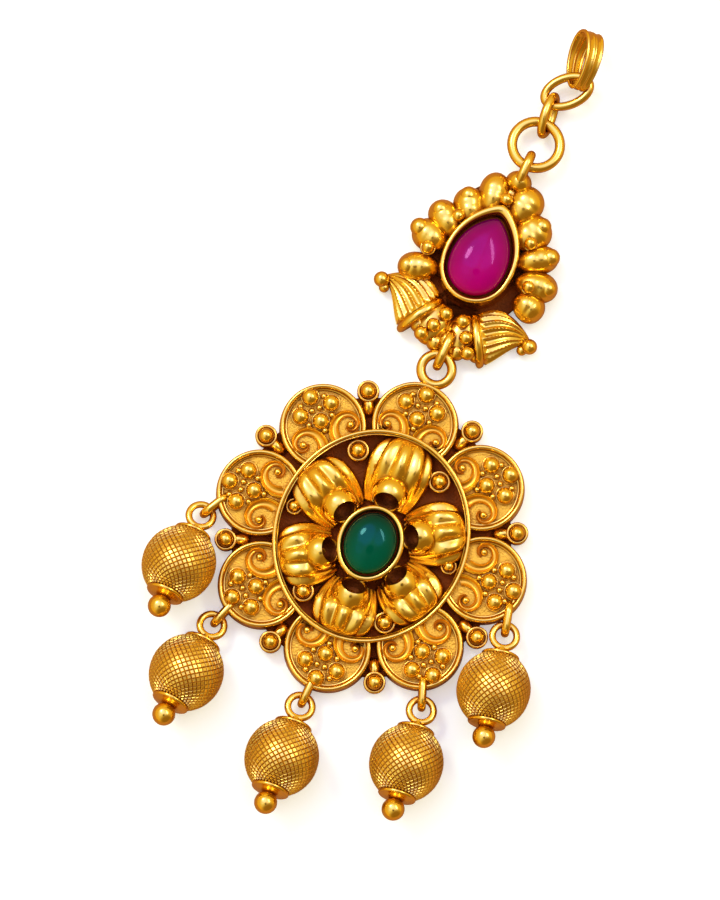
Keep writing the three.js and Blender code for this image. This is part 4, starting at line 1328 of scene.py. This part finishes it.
# %% Knurled ball
BALL, BALL_LONG, BALL_AHEAD, DROP_REACH = 3.85, 4.1, 0.35, 6.2
END_REACH, END_BEAD, CAP, CAP_AT = 4.75, 1.18, 1.78, 3.66
KNURL_LOW, KNURL_EDGE, KNURL_HIGH = 0.16, 0.08, 0.12


def knurled_ball(name):
    deselect()
    bpy.ops.mesh.primitive_uv_sphere_add(segments=34, ring_count=20, radius=(BALL - KNURL_LOW) * MM)
    piece = named(name)
    corners = len(piece.data.vertices)
    bpy.ops.object.mode_set(mode="EDIT")
    bpy.ops.mesh.select_all(action="SELECT")
    bpy.ops.mesh.poke()
    bpy.ops.mesh.select_all(action="DESELECT")
    bpy.ops.object.mode_set(mode="OBJECT")
    for edge in piece.data.edges:
        edge.select = edge.vertices[0] < corners and edge.vertices[1] < corners
    bpy.ops.object.mode_set(mode="EDIT")
    bpy.ops.mesh.select_mode(type="EDGE")
    bpy.ops.mesh.dissolve_edges(use_verts=False)
    bpy.ops.mesh.select_mode(type="FACE")
    bpy.ops.mesh.select_all(action="SELECT")
    bpy.ops.mesh.inset(thickness=KNURL_EDGE * MM, depth=KNURL_HIGH * MM, use_individual=True)
    bpy.ops.mesh.select_mode(type="VERT")
    bpy.ops.object.mode_set(mode="OBJECT")
    return mould(piece, lambda p: (p.x, BALL_AHEAD - p.z * BALL_LONG / BALL, p.y))


knurl = finish_faces(knurled_ball("knurl"), [knurled])
print("knurled ball:", len(knurl.data.polygons), "faces")

# %% Caps, neck, ring and end bead
neck = DROP_REACH - DROP_RING
cap_profile = [(CAP - 0.1, CAP_AT - 0.3)] + arc_profile(CAP, CAP_AT, 0.2, -70, 110, 8) + [
    (0.8 * CAP, BALL_LONG - 0.12), (0.5 * CAP, BALL_LONG + 0.02), (0, BALL_LONG + 0.05)]
neck_profile = [(0.7, BALL_LONG), (0.55, BALL_LONG + 0.4), (0.42, neck), (0, neck + 0.1)]
fittings = [
    mould(turned("cap_far", cap_profile, 40), lambda p: (p.x, p.y, p.z + BALL_AHEAD)),
    mould(turned("cap_near", cap_profile, 40), lambda p: (p.x, p.y, BALL_AHEAD - p.z)),
    turned("neck", neck_profile, 24),
    ball("end", END_BEAD, 0, 0, -END_REACH, 40, 24),
    mould(wire_ring("ring", DROP_RING, DROP_RING_WIRE + 0.03, 56, 16),
          lambda p: (p.x, p.z, p.y + DROP_REACH)),
]
fitting = mould(joined("fittings", fittings), lambda p: (p.x, p.z, -p.y))
smooth(outwards(finish_faces(fitting, [polished])), 50)

# %% [markdown]
# Each drop lies on the table with its ring held by its loop. The ball is the thickest part, so it
# touches the table, and the drop tilts by the height that is left between the ball's middle and the
# loop's hole.

# %% Drops
for number, row in enumerate(DROPS, 1):
    ring_at = hook_place(row) + away(row["loop"], DROP_RING)
    hole = LOOP_HOLE + row["lift"]
    reach = DROP_REACH + DROP_RING * math.cos(math.radians(row["hang"] - row["loop"]))
    tilt = math.asin((BALL - hole) / reach)
    at = ring_at + away(row["hang"], DROP_REACH * math.cos(tilt))
    rest = math.hypot(BALL * math.cos(tilt), BALL_LONG * math.sin(tilt))
    place = shift(at.x, at.y, rest) @ turn_z(row["hang"] + 90) @ turn_x(-math.degrees(tilt))
    drop = joined(f"drop_{number}", [copied(knurl, place), copied(fitting, place)])
    done(drop, "gold", f"bead_drop_{number}")
discard(knurl, fitting)
